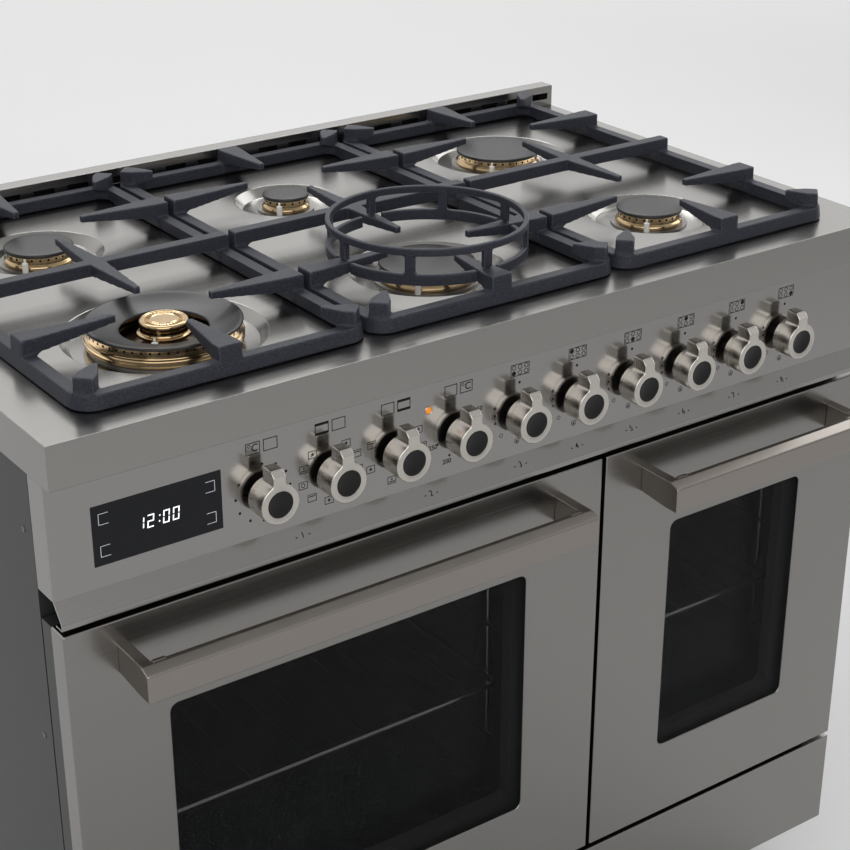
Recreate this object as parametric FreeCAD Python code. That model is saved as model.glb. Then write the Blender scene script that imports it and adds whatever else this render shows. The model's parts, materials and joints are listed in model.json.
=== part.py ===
import FreeCAD, Part
import math
import os

# Free-standing range cooker: six gas burners, two electric ovens side by side and a storage drawer.
# Lengths are millimetres and angles degrees. The origin is on the floor under the middle of the plan.
# X points right as seen from the front, Y towards the wall and Z up.

V = FreeCAD.Vector

# Overall
overall_width = 1000.0
hob_depth = 600.0
sheet = 1.5
overrun = 5.0
run_clearance = 0.05
rest_gap = 0.3

# Hob top
hob_sheet = 2.0
lip_height = 42.5
well_depth = 10.0
well_slope = 9.0

# Control panel
panel_setback = 13.5
panel_bend_drop = 153.0
panel_flare_drop = 170.0
panel_foot_drop = 176.0
panel_foot_return = 12.0
panel_gap = 5.5
display_width_share = 0.127
display_height = 58.0
display_left_share = 0.041
display_drop = 74.0
display_thickness = 4.0
display_proud = 0.4
lamp_radius = 3.6
lamp_hole_radius = 3.0
lamp_length = 14.0
lamp_dome = 2.2
lamp_inset_share = 0.3945
lamp_drop = 76.5

# Knobs and what they turn
knob_count = 10
oven_knob_count = 4
knob_pitch_share = 0.073
first_knob_share = 0.2105
knob_drop = 109.0
knob_radius = 19.75
knob_length = 25.0
knob_gap = 6.0
knob_edge = 1.0
knob_disc_radius = 12.8
knob_disc_recess = 0.8
knob_tab_width = 13.0
knob_tab_height = 13.0
knob_tab_depth = 18.0
knob_tab_fillet = 5.0
knob_socket_depth = 16.0
spindle_radius = 4.0
spindle_hole_radius = 6.0
spindle_insertion = 12.0
spindle_push = 4.0
valve_width = 26.0
valve_length = 44.0
switch_width = 44.0
switch_length = 30.0
rail_size = 18.0
inlet_inset = 28.0
inlet_radius = 12.0
inlet_bore = 9.5
inlet_bore_length = 20.0
programmer_depth = 45.0

# Doors
door_gap = 5.0
left_door_share = 0.6055
door_height = 490.0
door_skin_depth = 24.0
door_depth = 42.0
door_frame_inset = 2.5
door_back_gap = 2.5
window_side_margin = 97.0
window_top_margin = 105.0
window_bottom_margin = 95.0
window_radius = 9.0
pane = 4.0
pane_lap = 14.0
inner_pane_lap = 8.0
hinge_inset = 40.0
hinge_height = 10.0
hinge_setback = 10.0
hinge_pin_radius = 4.0
hinge_pin_reach = 10.0
hinge_plate = 4.0
hinge_arm_half = 6.0
hinge_slot_gap = 1.5
hinge_block_reach = 14.0
hinge_block_height = 22.0
hinge_block_setback = 3.5

# Handles
handle_end_inset = 50.0
handle_top_drop = 25.5
handle_reach = 55.5
handle_bar_depth = 17.0
handle_top_flat = 5.5
handle_chamfer_drop = 4.5
handle_height = 32.0
handle_end_thickness = 12.5
handle_end_height = 28.0
handle_tab_length = 13.0
handle_tab_width = 4.0
handle_tab_rise = 1.2

# Drawer
drawer_height = 122.5
drawer_gap = 6.0
drawer_front_depth = 20.0
drawer_box_inset = 45.0
drawer_box_height = 74.0
drawer_box_length = 470.0
drawer_lift = 10.0
drawer_member_height = 16.0
drawer_member_gap = 1.0
drawer_ledge = 6.0
drawer_ledge_reach = 40.0
drawer_stile = 19.0

# Carcass
foot_height = 100.0
foot_radius = 22.0
foot_stem_radius = 16.0
foot_pad = 14.0
foot_inset = 60.0
frame_thickness = 3.0
frame_top_above_gap = 36.0
vent_height = 27.0
vent_depth = 22.0
vent_slots = 24
vent_slot_width = 26.0
vent_slot_height = 8.0
back_slots = 16
back_slot_height = 60.0
back_slot_width = 8.0
back_slot_drop = 150.0
terminal_width = 100.0
terminal_height = 70.0
terminal_depth = 40.0
terminal_lap = 10.0
terminal_centre_height = 400.0
gland_radius = 9.0

# Ovens
left_cavity_margin = 67.75
right_cavity_margin = 49.75
cavity_height = 350.0
cavity_depth = 430.0
cavity_bottom_above_door = 62.0
liner_flange = 14.0
seal_width = 7.0
seal_offset = 8.0
rack_wire = 2.5
rack_post = 3.0
rack_post_off = 7.0
rack_peg = 2.0
rack_wall_gap = 11.5
rack_inset = 45.0
rack_level_shares = (0.22, 0.42, 0.62, 0.80)
shelf_level = 1
shelf_wire = 3.0
shelf_side_off = 14.0
shelf_bend = 12.0
shelf_rod = 2.0
shelf_rods = 12
shelf_front_inset = 18.0
shelf_back_inset = 52.0
element_radius = 3.5
element_leg = 3.0
element_drop = 26.0
element_side_inset = 55.0
element_front_inset = 70.0
element_bend = 28.0
element_bend_share = 0.95
fan_radius = 68.0
fan_blades = 10
fan_blade_thickness = 2.0
fan_blade_root = 30.0
fan_depth = 22.0
fan_hub_radius = 12.0
fan_back_gap = 9.0
fan_disc = 1.5
fan_ring_radius = 92.0
fan_shaft_radius = 4.0
fan_shaft_hole = 7.0
fan_cover_width = 290.0
fan_cover_gap = 3.0
fan_cover_stand = 42.0
fan_cover_post = 5.0
fan_slots = 12
fan_slot_inner = 20.0
fan_slot_outer = 58.0
fan_slot_width = 7.0
motor_radius = 36.0
motor_length = 38.0
lamp_glass_radius = 19.0
lamp_body_radius = 15.0
lamp_glass_rise = 12.0
lamp_body_length = 30.0
lamp_side_inset = 40.0
lamp_top_inset = 52.0

# Burners
grate_pitch_share = 0.302
front_burner_setback = 150.0
rear_burner_setback = 424.0
head_sizes = {"small": 24.0, "middle": 34.0, "large": 48.0}
well_margin = 34.0
burners = (
    ("left", "front", "wok"),
    ("left", "rear", "middle"),
    ("centre", "front", "large"),
    ("centre", "rear", "small"),
    ("right", "front", "middle"),
    ("right", "rear", "large"),
)
cup_thickness = 2.0
cup_neck_depth = 26.0
plug_radius = 3.2
plug_height = 11.0
plug_tip_radius = 1.2
plug_tip_height = 3.0
head_height = 13.0
head_flange = 3.0
head_flange_height = 5.0
head_lid_wall = 4.0
cap_thickness = 5.0
cap_lap = 2.0
cap_crown = 1.5
port_width = 2.0
port_height = 3.5
port_depth = 2.5
port_pitch = 9.5
wok_well_radius = 98.0
wok_ring_outer = 72.5
wok_ring_inner = 50.0
wok_ring_height = 19.0
wok_flange_height = 10.0
wok_flange_bevel = 3.0
wok_cap_outer = 74.5
wok_cap_inner = 42.0
wok_cap_rim = 3.0
wok_cap_dish = 5.0
wok_cap_thickness = 2.5
wok_stem_radius = 20.0
wok_stem_height = 7.0
wok_inner_radius = 24.0
wok_inner_height = 9.5
wok_inner_cap_radius = 22.5
wok_inner_cap_height = 6.5
burner_bevel = 1.2

# Pan supports
grate_gap = 2.0
grate_depth = 536.0
grate_front = 22.0
grate_corner = 24.0
rail_width = 17.0
rail_draft = 2.0
rail_bottom = 1.0
rail_top = 15.0
pad_radius = 6.0
pad_inset = 40.0
support_height = 30.0
arm_tip_radius = 50.0
arm_root_width = 24.0
arm_tip_width = 6.5
arm_tip_height = 7.0
arm_straight = 15.0
arm_lean = 2.5
arm_web = 9.0
arm_web_foot = 11.0
arm_web_top = 15.5
lug_setback = 2.5
lug_length = 37.5
lug_root_width = 19.0
lug_tip_width = 4.0
lug_tip_height = 9.0
bar_width = 15.0
bar_height = 13.0
finger_root_width = 18.0

# Wok ring
wok_stand_radius = 103.0
wok_stand_wall = 5.0
wok_stand_drop = 12.0
wok_stand_height = 26.0
wok_stand_foot = 12.0
wok_stand_rim = 8.0
wok_stand_windows = 8
wok_stand_pillar = 12.0
wok_stand_notch_gap = 0.6
wok_stand_notches = 4

# Places worked out from the sizes above
half_width = overall_width / 2
hob_height = foot_height + drawer_height + drawer_gap + door_height + panel_gap + panel_foot_drop
grate_pitch = overall_width * grate_pitch_share
grate_width = grate_pitch - grate_gap
burner_columns = {"left": -grate_pitch, "centre": 0, "right": grate_pitch}
display_width = overall_width * display_width_share
display_left = overall_width * display_left_share
lamp_inset = overall_width * lamp_inset_share
knob_pitch = overall_width * knob_pitch_share
first_knob_inset = overall_width * first_knob_share
reach_in_front = panel_setback + handle_reach
overall_depth = reach_in_front + hob_depth - panel_setback
panel_y = reach_in_front - overall_depth / 2
lip_y = panel_y - panel_setback
back_y = lip_y + hob_depth
skirt_z = hob_height - lip_height
panel_back_y = panel_y + sheet
panel_foot_z = hob_height - panel_foot_drop
door_y = lip_y
door_top_z = panel_foot_z - panel_gap
door_bottom_z = door_top_z - door_height
door_back_y = door_y + door_depth
frame_y = door_back_y + door_back_gap
frame_back_y = frame_y + frame_thickness
base_z = foot_height
base_top_z = base_z + sheet
drawer_top_z = door_bottom_z - drawer_gap
hinge_y = door_y + hinge_setback
hinge_z = door_bottom_z + hinge_height
knob_z = hob_height - knob_drop
knob_back_y = panel_y - knob_gap
knob_front_y = knob_back_y - knob_length
valve_back_y = panel_back_y + valve_length
cavity_bottom_z = door_bottom_z + cavity_bottom_above_door
cavity_top_z = cavity_bottom_z + cavity_height
cavity_back_y = frame_back_y + cavity_depth
left_door = (-half_width, -half_width + overall_width * left_door_share)
right_door = (left_door[1] + door_gap, half_width)
left_cavity_width = left_door[1] - left_door[0] - 2 * left_cavity_margin
right_cavity_width = right_door[1] - right_door[0] - 2 * right_cavity_margin
left_cavity_x = (left_door[0] + left_door[1]) / 2
right_cavity_x = (right_door[0] + right_door[1]) / 2
front_burner_y = panel_y + front_burner_setback
rear_burner_y = panel_y + rear_burner_setback
well_floor_z = hob_height - well_depth
cup_top_z = well_floor_z + cup_thickness
support_z = hob_height + support_height


# Solids from corners, outlines and paths
def block(x0, x1, y0, y1, z0, z1):
    return Part.makeBox(x1 - x0, y1 - y0, z1 - z0, V(x0, y0, z0))


def rod(start, end, radius):
    direction = end - start
    return Part.makeCylinder(radius, direction.Length, start, direction)


def closed_face(points):
    return Part.Face(Part.makePolygon(list(points) + [points[0]]))


def prism_x(outline, x0, x1):
    return closed_face([V(x0, y, z) for y, z in outline]).extrude(V(x1 - x0, 0, 0))


def prism_z(outline, z0, z1):
    return closed_face([V(x, y, z0) for x, y in outline]).extrude(V(0, 0, z1 - z0))


def turned_z(x, y, outline):
    face = closed_face([V(x + r, y, z) for r, z in outline])
    return face.revolve(V(x, y, 0), V(0, 0, 1), 360)


def turned_y(x, z, outline):
    face = closed_face([V(x + r, y, z) for r, y in outline])
    return face.revolve(V(x, 0, z), V(0, 1, 0), 360)


def rounded_wire(a0, a1, b0, b1, radius, place):
    corner = radius * (1 - math.sqrt(0.5))
    edges = [
        Part.makeLine(place(a0 + radius, b0), place(a1 - radius, b0)),
        Part.Arc(place(a1 - radius, b0), place(a1 - corner, b0 + corner), place(a1, b0 + radius)).toShape(),
        Part.makeLine(place(a1, b0 + radius), place(a1, b1 - radius)),
        Part.Arc(place(a1, b1 - radius), place(a1 - corner, b1 - corner), place(a1 - radius, b1)).toShape(),
        Part.makeLine(place(a1 - radius, b1), place(a0 + radius, b1)),
        Part.Arc(place(a0 + radius, b1), place(a0 + corner, b1 - corner), place(a0, b1 - radius)).toShape(),
        Part.makeLine(place(a0, b1 - radius), place(a0, b0 + radius)),
        Part.Arc(place(a0, b0 + radius), place(a0 + corner, b0 + corner), place(a0 + radius, b0)).toShape(),
    ]
    return Part.Wire(edges)


def rounded_block_y(x0, x1, z0, z1, radius, y0, y1):
    wire = rounded_wire(x0, x1, z0, z1, radius, lambda a, b: V(a, y0, b))
    return Part.Face(wire).extrude(V(0, y1 - y0, 0))


def tapered_block(x0, x1, y0, y1, radius, z0, z1, inset):
    low = rounded_wire(x0, x1, y0, y1, radius, lambda a, b: V(a, b, z0))
    high = rounded_wire(x0 + inset, x1 - inset, y0 + inset, y1 - inset, radius - inset,
                        lambda a, b: V(a, b, z1))
    return Part.makeLoft([low, high], True, True)


def bent_tube(points, bend, radius):
    edges = []
    start = points[0]
    for before, corner, after in zip(points, points[1:], points[2:]):
        back = (before - corner).normalize()
        ahead = (after - corner).normalize()
        half_angle = back.getAngle(ahead) / 2
        trim = bend / math.tan(half_angle)
        into = corner + back * trim
        out = corner + ahead * trim
        middle_way = (back + ahead).normalize()
        middle = corner + middle_way * (bend / math.sin(half_angle) - bend)
        edges.append(Part.makeLine(start, into))
        edges.append(Part.Arc(into, middle, out).toShape())
        start = out
    edges.append(Part.makeLine(start, points[-1]))
    path = Part.Wire(edges)
    ring = Part.Wire(Part.makeCircle(radius, points[0], points[1] - points[0]))
    return path.makePipeShell([ring], True, False)


def joined(solids):
    whole = solids[0].fuse(solids[1:]) if len(solids) > 1 else solids[0]
    return whole.removeSplitter()


def around(solid, x, y, turns):
    return [solid.rotated(V(x, y, 0), V(0, 0, 1), 360 * i / turns) for i in range(turns)]


def save(name, shape):
    shape.exportStep("parts/" + name + ".step")


# Carcass
def side_panels():
    left = block(-half_width, -half_width + sheet, frame_y, back_y - sheet, base_z, skirt_z)
    right = left.translated(V(overall_width - sheet, 0, 0))
    return Part.makeCompound([left, right])


def back_panel():
    panel = block(-half_width, half_width, back_y - sheet, back_y, base_z, skirt_z)
    slot_pitch = overall_width / (back_slots + 1)
    slot_top = skirt_z - back_slot_drop
    cuts = []
    for i in range(back_slots):
        x = -half_width + slot_pitch * (i + 1)
        cuts.append(block(x - back_slot_width / 2, x + back_slot_width / 2, back_y - sheet - overrun,
                          back_y + overrun, slot_top - back_slot_height, slot_top))
    opening = terminal_width / 2 - terminal_lap
    opening_height = terminal_height / 2 - terminal_lap
    cuts.append(block(-opening, opening, back_y - sheet - overrun, back_y + overrun,
                      terminal_centre_height - opening_height, terminal_centre_height + opening_height))
    inlet_x = half_width - inlet_inset
    cuts.append(rod(V(inlet_x, back_y - sheet - overrun, knob_z), V(inlet_x, back_y + overrun, knob_z),
                    inlet_radius))
    return panel.cut(cuts)


def base_pan():
    return block(-half_width + sheet, half_width - sheet, frame_y, back_y - sheet, base_z, base_top_z)


def front_frame():
    inner = half_width - sheet
    plate = block(-inner, inner, frame_y, frame_back_y, base_top_z, door_top_z + frame_top_above_gap)
    cuts = [block(-inner + drawer_stile, inner - drawer_stile, frame_y - overrun, frame_back_y + overrun,
                  base_top_z - overrun, drawer_top_z)]
    for x, width in ((left_cavity_x, left_cavity_width), (right_cavity_x, right_cavity_width)):
        cuts.append(block(x - width / 2, x + width / 2, frame_y - overrun, frame_back_y + overrun,
                          cavity_bottom_z, cavity_top_z))
    return plate.cut(cuts)


def levelling_feet():
    feet = []
    for x in (-half_width + foot_inset, half_width - foot_inset):
        for y in (frame_y + foot_inset, back_y - foot_inset):
            outline = [(0, 0), (foot_radius, 0), (foot_radius, foot_pad), (foot_stem_radius, foot_pad),
                       (foot_stem_radius, base_z - foot_pad), (foot_radius, base_z - foot_pad),
                       (foot_radius, base_z), (0, base_z)]
            feet.append(turned_z(x, y, outline))
    return Part.makeCompound(feet)


def rear_vent_trim():
    top = hob_height + vent_height
    front = back_y - vent_depth
    trim = block(-half_width, half_width, front, back_y, hob_height, top)
    hollow = block(-half_width + hob_sheet, half_width - hob_sheet, front + hob_sheet, back_y - hob_sheet,
                   hob_height - overrun, top - hob_sheet)
    slot_pitch = overall_width / vent_slots
    slot_z = hob_height + (vent_height - vent_slot_height) / 2
    slots = []
    for i in range(vent_slots):
        x = -half_width + slot_pitch * i + slot_pitch / 2
        slots.append(block(x - vent_slot_width / 2, x + vent_slot_width / 2, front - overrun,
                           front + hob_sheet + overrun, slot_z, slot_z + vent_slot_height))
    return trim.cut([hollow] + slots)


def terminal_box():
    y1 = back_y - sheet
    y0 = y1 - terminal_depth
    half = terminal_width / 2
    low = terminal_centre_height - terminal_height / 2
    case = block(-half, half, y0, y1, low, low + terminal_height)
    middle_y = (y0 + y1) / 2
    gland = rod(V(0, middle_y, low - overrun), V(0, middle_y, low + overrun), gland_radius)
    return case.cut(gland)


# Hob
def burner_places():
    for column, row, kind in burners:
        yield burner_columns[column], front_burner_y if row == "front" else rear_burner_y, kind


def well_radius(kind):
    return wok_well_radius if kind == "wok" else head_sizes[kind] + well_margin


def cup_radius(kind):
    return well_radius(kind) - well_slope - well_margin / 2


def neck_radius(kind):
    return cup_radius(kind) / 2


def hob_top():
    tray = block(-half_width, half_width, lip_y, back_y, skirt_z, hob_height)
    under = hob_height - hob_sheet
    tray = tray.cut(block(-half_width + hob_sheet, half_width - hob_sheet, lip_y + hob_sheet,
                          back_y - hob_sheet, skirt_z - overrun, under))
    for x, y, kind in burner_places():
        rim = well_radius(kind)
        floor = rim - well_slope
        neck = neck_radius(kind)
        tray = tray.cut(rod(V(x, y, under - overrun), V(x, y, hob_height + overrun), rim))
        dish = [(rim, hob_height), (floor, well_floor_z), (neck, well_floor_z),
                (neck, well_floor_z - hob_sheet), (floor, well_floor_z - hob_sheet), (rim, under)]
        tray = tray.fuse(turned_z(x, y, dish))
    return tray.removeSplitter()


def burner_cups():
    cups = []
    for x, y, kind in burner_places():
        radius = cup_radius(kind)
        neck = neck_radius(kind)
        bottom = well_floor_z - cup_neck_depth
        cups.append(turned_z(x, y, [(0, bottom), (neck - rest_gap, bottom), (neck - rest_gap, well_floor_z),
                                    (radius, well_floor_z), (radius, cup_top_z), (0, cup_top_z)]))
    return Part.makeCompound(cups)


def with_ports(solid, x, y, radius, top):
    count = int(2 * math.pi * radius / port_pitch)
    port = block(x + radius - port_depth, x + radius + overrun, y - port_width / 2, y + port_width / 2,
                 top - port_height, top)
    return solid.cut(around(port, x, y, count))


def brass_head(x, y, radius, base, height):
    top = base + height
    body = turned_z(x, y, [(0, base), (radius + head_flange, base),
                           (radius + head_flange, base + head_flange_height - burner_bevel),
                           (radius, base + head_flange_height), (radius, top), (0, top)])
    return with_ports(body, x, y, radius, top)


def dished_cap(x, y, radius, base, height):
    return turned_z(x, y, [(0, base), (radius, base), (radius, base + height - cap_crown - burner_bevel),
                           (radius - burner_bevel, base + height - cap_crown), (0, base + height)])


def wok_outer_ring(x, y):
    top = cup_top_z + wok_ring_height
    outer = wok_ring_outer
    ring = turned_z(x, y, [(wok_ring_inner, cup_top_z), (outer, cup_top_z),
                           (outer + head_flange, cup_top_z + wok_flange_bevel),
                           (outer + head_flange, cup_top_z + wok_flange_height),
                           (outer, cup_top_z + wok_flange_height + burner_bevel), (outer, top),
                           (outer - head_lid_wall, top), (wok_ring_inner, top - wok_cap_dish)])
    return with_ports(ring, x, y, outer, top)


def wok_ring_cap(x, y):
    seat = cup_top_z + wok_ring_height
    rim = wok_ring_outer - head_lid_wall
    slope = wok_cap_dish / (rim - wok_ring_inner)
    low = seat - slope * (rim - wok_cap_inner)
    return turned_z(x, y, [(wok_cap_inner, low), (rim, seat), (wok_cap_outer, seat),
                           (wok_cap_outer, seat + wok_cap_rim - burner_bevel),
                           (wok_cap_outer - burner_bevel, seat + wok_cap_rim),
                           (wok_cap_inner, low + wok_cap_thickness)])


def burner_heads():
    heads = []
    for x, y, kind in burner_places():
        if kind == "wok":
            heads.append(wok_outer_ring(x, y))
            base = cup_top_z + wok_stem_height
            stem = rod(V(x, y, cup_top_z), V(x, y, base), wok_stem_radius)
            heads.append(joined([stem, brass_head(x, y, wok_inner_radius, base, wok_inner_height)]))
            heads.append(dished_cap(x, y, wok_inner_cap_radius, base + wok_inner_height, wok_inner_cap_height))
        else:
            heads.append(brass_head(x, y, head_sizes[kind], cup_top_z, head_height))
    return Part.makeCompound(heads)


def burner_caps():
    caps = []
    for x, y, kind in burner_places():
        if kind == "wok":
            caps.append(wok_ring_cap(x, y))
        else:
            caps.append(dished_cap(x, y, head_sizes[kind] + cap_lap, cup_top_z + head_height, cap_thickness))
    return Part.makeCompound(caps)


def igniters():
    plugs = []
    for x, y, kind in burner_places():
        head = wok_inner_radius if kind == "wok" else head_sizes[kind]
        place = head + head_flange + plug_radius + rest_gap
        for side in (-1, 1):
            top = cup_top_z + plug_height
            base = turned_z(x + side * place, y, [
                (0, cup_top_z), (plug_radius, cup_top_z), (plug_radius, top - burner_bevel),
                (plug_tip_radius, top), (plug_tip_radius, top + plug_tip_height), (0, top + plug_tip_height)])
            plugs.append(base.rotated(V(x, y, 0), V(0, 0, 1), 45))
    return Part.makeCompound(plugs)


# Pan supports
def taper(length, straight, root_width, tip_width, solid):
    half = root_width / 2
    tip = tip_width / 2
    plan = [(-overrun, -half), (straight, -half), (length, -tip), (length, tip), (straight, half),
            (-overrun, half)]
    box = solid.BoundBox
    return solid.common(prism_z(plan, box.ZMin - overrun, box.ZMax + overrun))


def side_profile(points, half):
    edges = []
    for start, end in zip(points, points[1:] + points[:1]):
        if len(end) == 4:
            middle = V(end[2], -half, end[3])
            edges.append(Part.Arc(V(start[0], -half, start[1]), middle, V(end[0], -half, end[1])).toShape())
        else:
            edges.append(Part.makeLine(V(start[0], -half, start[1]), V(end[0], -half, end[1])))
    return Part.Face(Part.Wire(edges)).extrude(V(0, 2 * half, 0))


def rail_arm(length, root_width, tip_width, tip_height):
    web_start = rail_width + arm_web
    bulge = arm_web * (1 - math.sqrt(0.5))
    web_rise = arm_web_top - arm_web_foot
    arc_z = arm_web_top - web_rise * (1 - math.sqrt(0.5))
    outline = [(rail_draft, rail_top), (arm_lean, support_height), (length, support_height),
               (length, support_height - tip_height), (web_start, arm_web_top),
               (rail_width, arm_web_foot, rail_width + bulge, arc_z),
               (rail_width - rail_draft, rail_bottom + rail_draft), (rail_draft, rail_bottom + rail_draft)]
    solid = side_profile(outline, root_width)
    return taper(length, arm_straight, root_width, tip_width, solid)


def hanging_finger(length, root_width, tip_width, root_height, tip_height):
    outline = [(0, support_height - root_height), (0, support_height), (length, support_height),
               (length, support_height - tip_height)]
    return taper(length, 0, root_width, tip_width, side_profile(outline, root_width))


def placed(solid, x, y, angle):
    turned = solid.rotated(V(0, 0, 0), V(0, 0, 1), angle)
    return turned.translated(V(x, y, hob_height))


def pan_support(x):
    y0 = panel_y + grate_front
    y1 = y0 + grate_depth
    x0 = x - grate_width / 2
    x1 = x + grate_width / 2
    z0 = hob_height + rail_bottom
    z1 = hob_height + rail_top
    middle_y = (y0 + y1) / 2
    outer = tapered_block(x0, x1, y0, y1, grate_corner, z0, z1, rail_draft)
    inner = tapered_block(x0 + rail_width - rail_draft, x1 - rail_width + rail_draft,
                          y0 + rail_width - rail_draft, y1 - rail_width + rail_draft,
                          grate_corner - rail_width + 2 * rail_draft, z1, z0, -rail_draft)
    pieces = [outer.cut(inner)]
    side_length = grate_width / 2 - arm_tip_radius
    front_length = front_burner_y - y0 - arm_tip_radius
    rear_length = y1 - rear_burner_y - arm_tip_radius
    side_arm = rail_arm(side_length, arm_root_width, arm_tip_width, arm_tip_height)
    for y in (front_burner_y, rear_burner_y):
        pieces.append(placed(side_arm, x0, y, 0))
        pieces.append(placed(side_arm, x1, y, 180))
    pieces.append(placed(rail_arm(front_length, arm_root_width, arm_tip_width, arm_tip_height), x, y0, 90))
    pieces.append(placed(rail_arm(rear_length, arm_root_width, arm_tip_width, arm_tip_height), x, y1, -90))
    lug = rail_arm(lug_length, lug_root_width, lug_tip_width, lug_tip_height)
    shift = grate_corner * (1 - math.sqrt(0.5)) + lug_setback * math.sqrt(0.5)
    for lug_x, lug_y, angle in ((x0 + shift, y0 + shift, 45), (x1 - shift, y0 + shift, 135),
                                (x1 - shift, y1 - shift, -135), (x0 + shift, y1 - shift, -45)):
        pieces.append(placed(lug, lug_x, lug_y, angle))
    cross_half = rail_arm(grate_width / 2, bar_width, bar_width, bar_height)
    pieces.append(placed(cross_half, x0, middle_y, 0))
    pieces.append(placed(cross_half, x1, middle_y, 180))
    forward = middle_y - front_burner_y - arm_tip_radius
    backward = rear_burner_y - middle_y - arm_tip_radius
    pieces.append(placed(hanging_finger(forward, finger_root_width, arm_tip_width, bar_height,
                                        arm_tip_height), x, middle_y, -90))
    pieces.append(placed(hanging_finger(backward, finger_root_width, arm_tip_width, bar_height,
                                        arm_tip_height), x, middle_y, 90))
    pad_x = rail_width / 2
    for px in (x0 + pad_x, x1 - pad_x):
        for py in (y0 + pad_inset, y1 - pad_inset):
            pieces.append(rod(V(px, py, hob_height + rest_gap), V(px, py, z0 + rail_draft), pad_radius))
    return joined(pieces)


def wok_ring():
    x = burner_columns["centre"]
    y = front_burner_y
    seat = support_z + rest_gap
    z0 = seat - wok_stand_drop
    z1 = seat + wok_stand_height
    inner = wok_stand_radius - wok_stand_wall
    band = turned_z(x, y, [(inner, z0), (wok_stand_radius, z0), (wok_stand_radius, z1), (inner, z1)])
    window_width = 2 * math.pi * wok_stand_radius / wok_stand_windows - wok_stand_pillar
    window = block(x + inner - overrun, x + wok_stand_radius + overrun, y - window_width / 2,
                   y + window_width / 2, z0 + wok_stand_foot, z1 - wok_stand_rim)
    window.rotate(V(x, y, 0), V(0, 0, 1), 180 / wok_stand_windows)
    half = arm_root_width / 2 + wok_stand_notch_gap
    notch = block(x + inner - overrun, x + wok_stand_radius + overrun, y - half, y + half, z0 - overrun, seat)
    return band.cut(around(window, x, y, wok_stand_windows) + around(notch, x, y, wok_stand_notches))


# Controls
def knob_places():
    return [-half_width + first_knob_inset + knob_pitch * i for i in range(knob_count)]


def control_panel():
    top = hob_height - hob_sheet
    bend_z = hob_height - panel_bend_drop
    flare_z = hob_height - panel_flare_drop
    outline = [(panel_y, top), (panel_y, bend_z), (lip_y, flare_z), (lip_y, panel_foot_z),
               (lip_y + panel_foot_return, panel_foot_z), (lip_y + panel_foot_return, panel_foot_z + sheet),
               (lip_y + sheet, panel_foot_z + sheet), (lip_y + sheet, flare_z + sheet / 2),
               (panel_back_y, bend_z + sheet / 2), (panel_back_y, top)]
    face = prism_x(outline, -half_width + hob_sheet, half_width - hob_sheet)
    below = block(-half_width - overrun, half_width + overrun, lip_y - overrun, back_y, base_z, skirt_z)
    wide = prism_x(outline, -half_width, half_width).common(below)
    ends = []
    for x in (-half_width, half_width - sheet):
        ends.append(block(x, x + sheet, panel_back_y, frame_y, bend_z, skirt_z))
    panel = joined([face, wide] + ends)
    cuts = []
    for x in knob_places():
        cuts.append(rod(V(x, panel_y - overrun, knob_z), V(x, panel_back_y + overrun, knob_z),
                        spindle_hole_radius))
    left = -half_width + display_left
    top_z = hob_height - display_drop
    cuts.append(block(left, left + display_width, panel_y - overrun, panel_back_y + overrun,
                      top_z - display_height, top_z))
    lamp_x = -half_width + lamp_inset
    lamp_z = hob_height - lamp_drop
    cuts.append(rod(V(lamp_x, panel_y - overrun, lamp_z), V(lamp_x, panel_back_y + overrun, lamp_z),
                    lamp_hole_radius))
    return panel.cut(cuts)


def display_glass():
    left = -half_width + display_left
    top_z = hob_height - display_drop
    return block(left, left + display_width, panel_y - display_proud,
                 panel_y - display_proud + display_thickness, top_z - display_height, top_z)


def pilot_lamp():
    x = -half_width + lamp_inset
    z = hob_height - lamp_drop
    stem = lamp_hole_radius
    return turned_y(x, z, [(0, panel_y - lamp_dome), (lamp_radius / 2, panel_y - lamp_dome),
                           (lamp_radius, panel_y), (stem, panel_y), (stem, panel_back_y + lamp_length),
                           (0, panel_back_y + lamp_length)])


def oven_controls():
    controls = []
    half = switch_width / 2
    for x in knob_places()[:oven_knob_count]:
        case = block(x - half, x + half, panel_back_y, panel_back_y + switch_length, knob_z - half,
                     knob_z + half)
        shaft = rod(V(x, knob_back_y - knob_socket_depth + overrun, knob_z), V(x, panel_back_y, knob_z),
                    spindle_radius)
        controls.append(joined([case, shaft]))
    left = -half_width + display_left
    top_z = hob_height - display_drop
    back = panel_y - display_proud + display_thickness
    controls.append(block(left, left + display_width, back, back + programmer_depth,
                          top_z - display_height, top_z))
    return Part.makeCompound(controls)


def gas_valves():
    valves = []
    half = valve_width / 2
    bore_depth = spindle_insertion + spindle_push + overrun
    for x in knob_places()[oven_knob_count:]:
        case = block(x - half, x + half, panel_back_y, valve_back_y, knob_z - half, knob_z + half)
        bore = rod(V(x, panel_back_y - overrun, knob_z), V(x, panel_back_y + bore_depth, knob_z),
                   spindle_radius + run_clearance)
        valves.append(case.cut(bore))
    return Part.makeCompound(valves)


def gas_rail():
    places = knob_places()
    half = rail_size / 2
    inlet_x = half_width - inlet_inset
    bar = block(places[oven_knob_count] - valve_width, inlet_x + half, valve_back_y, valve_back_y + rail_size,
                knob_z - half, knob_z + half)
    pipe = rod(V(inlet_x, valve_back_y + half, knob_z), V(inlet_x, back_y - inlet_bore_length, knob_z), half)
    socket = rod(V(inlet_x, back_y - inlet_bore_length - overrun, knob_z), V(inlet_x, back_y, knob_z),
                 inlet_radius)
    bore = rod(V(inlet_x, back_y - inlet_bore_length, knob_z), V(inlet_x, back_y + overrun, knob_z),
               inlet_bore)
    return joined([bar, pipe, socket]).cut(bore)


def gas_spindle(x):
    return rod(V(x, knob_back_y - knob_socket_depth + overrun, knob_z),
               V(x, panel_back_y + spindle_insertion, knob_z), spindle_radius)


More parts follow.
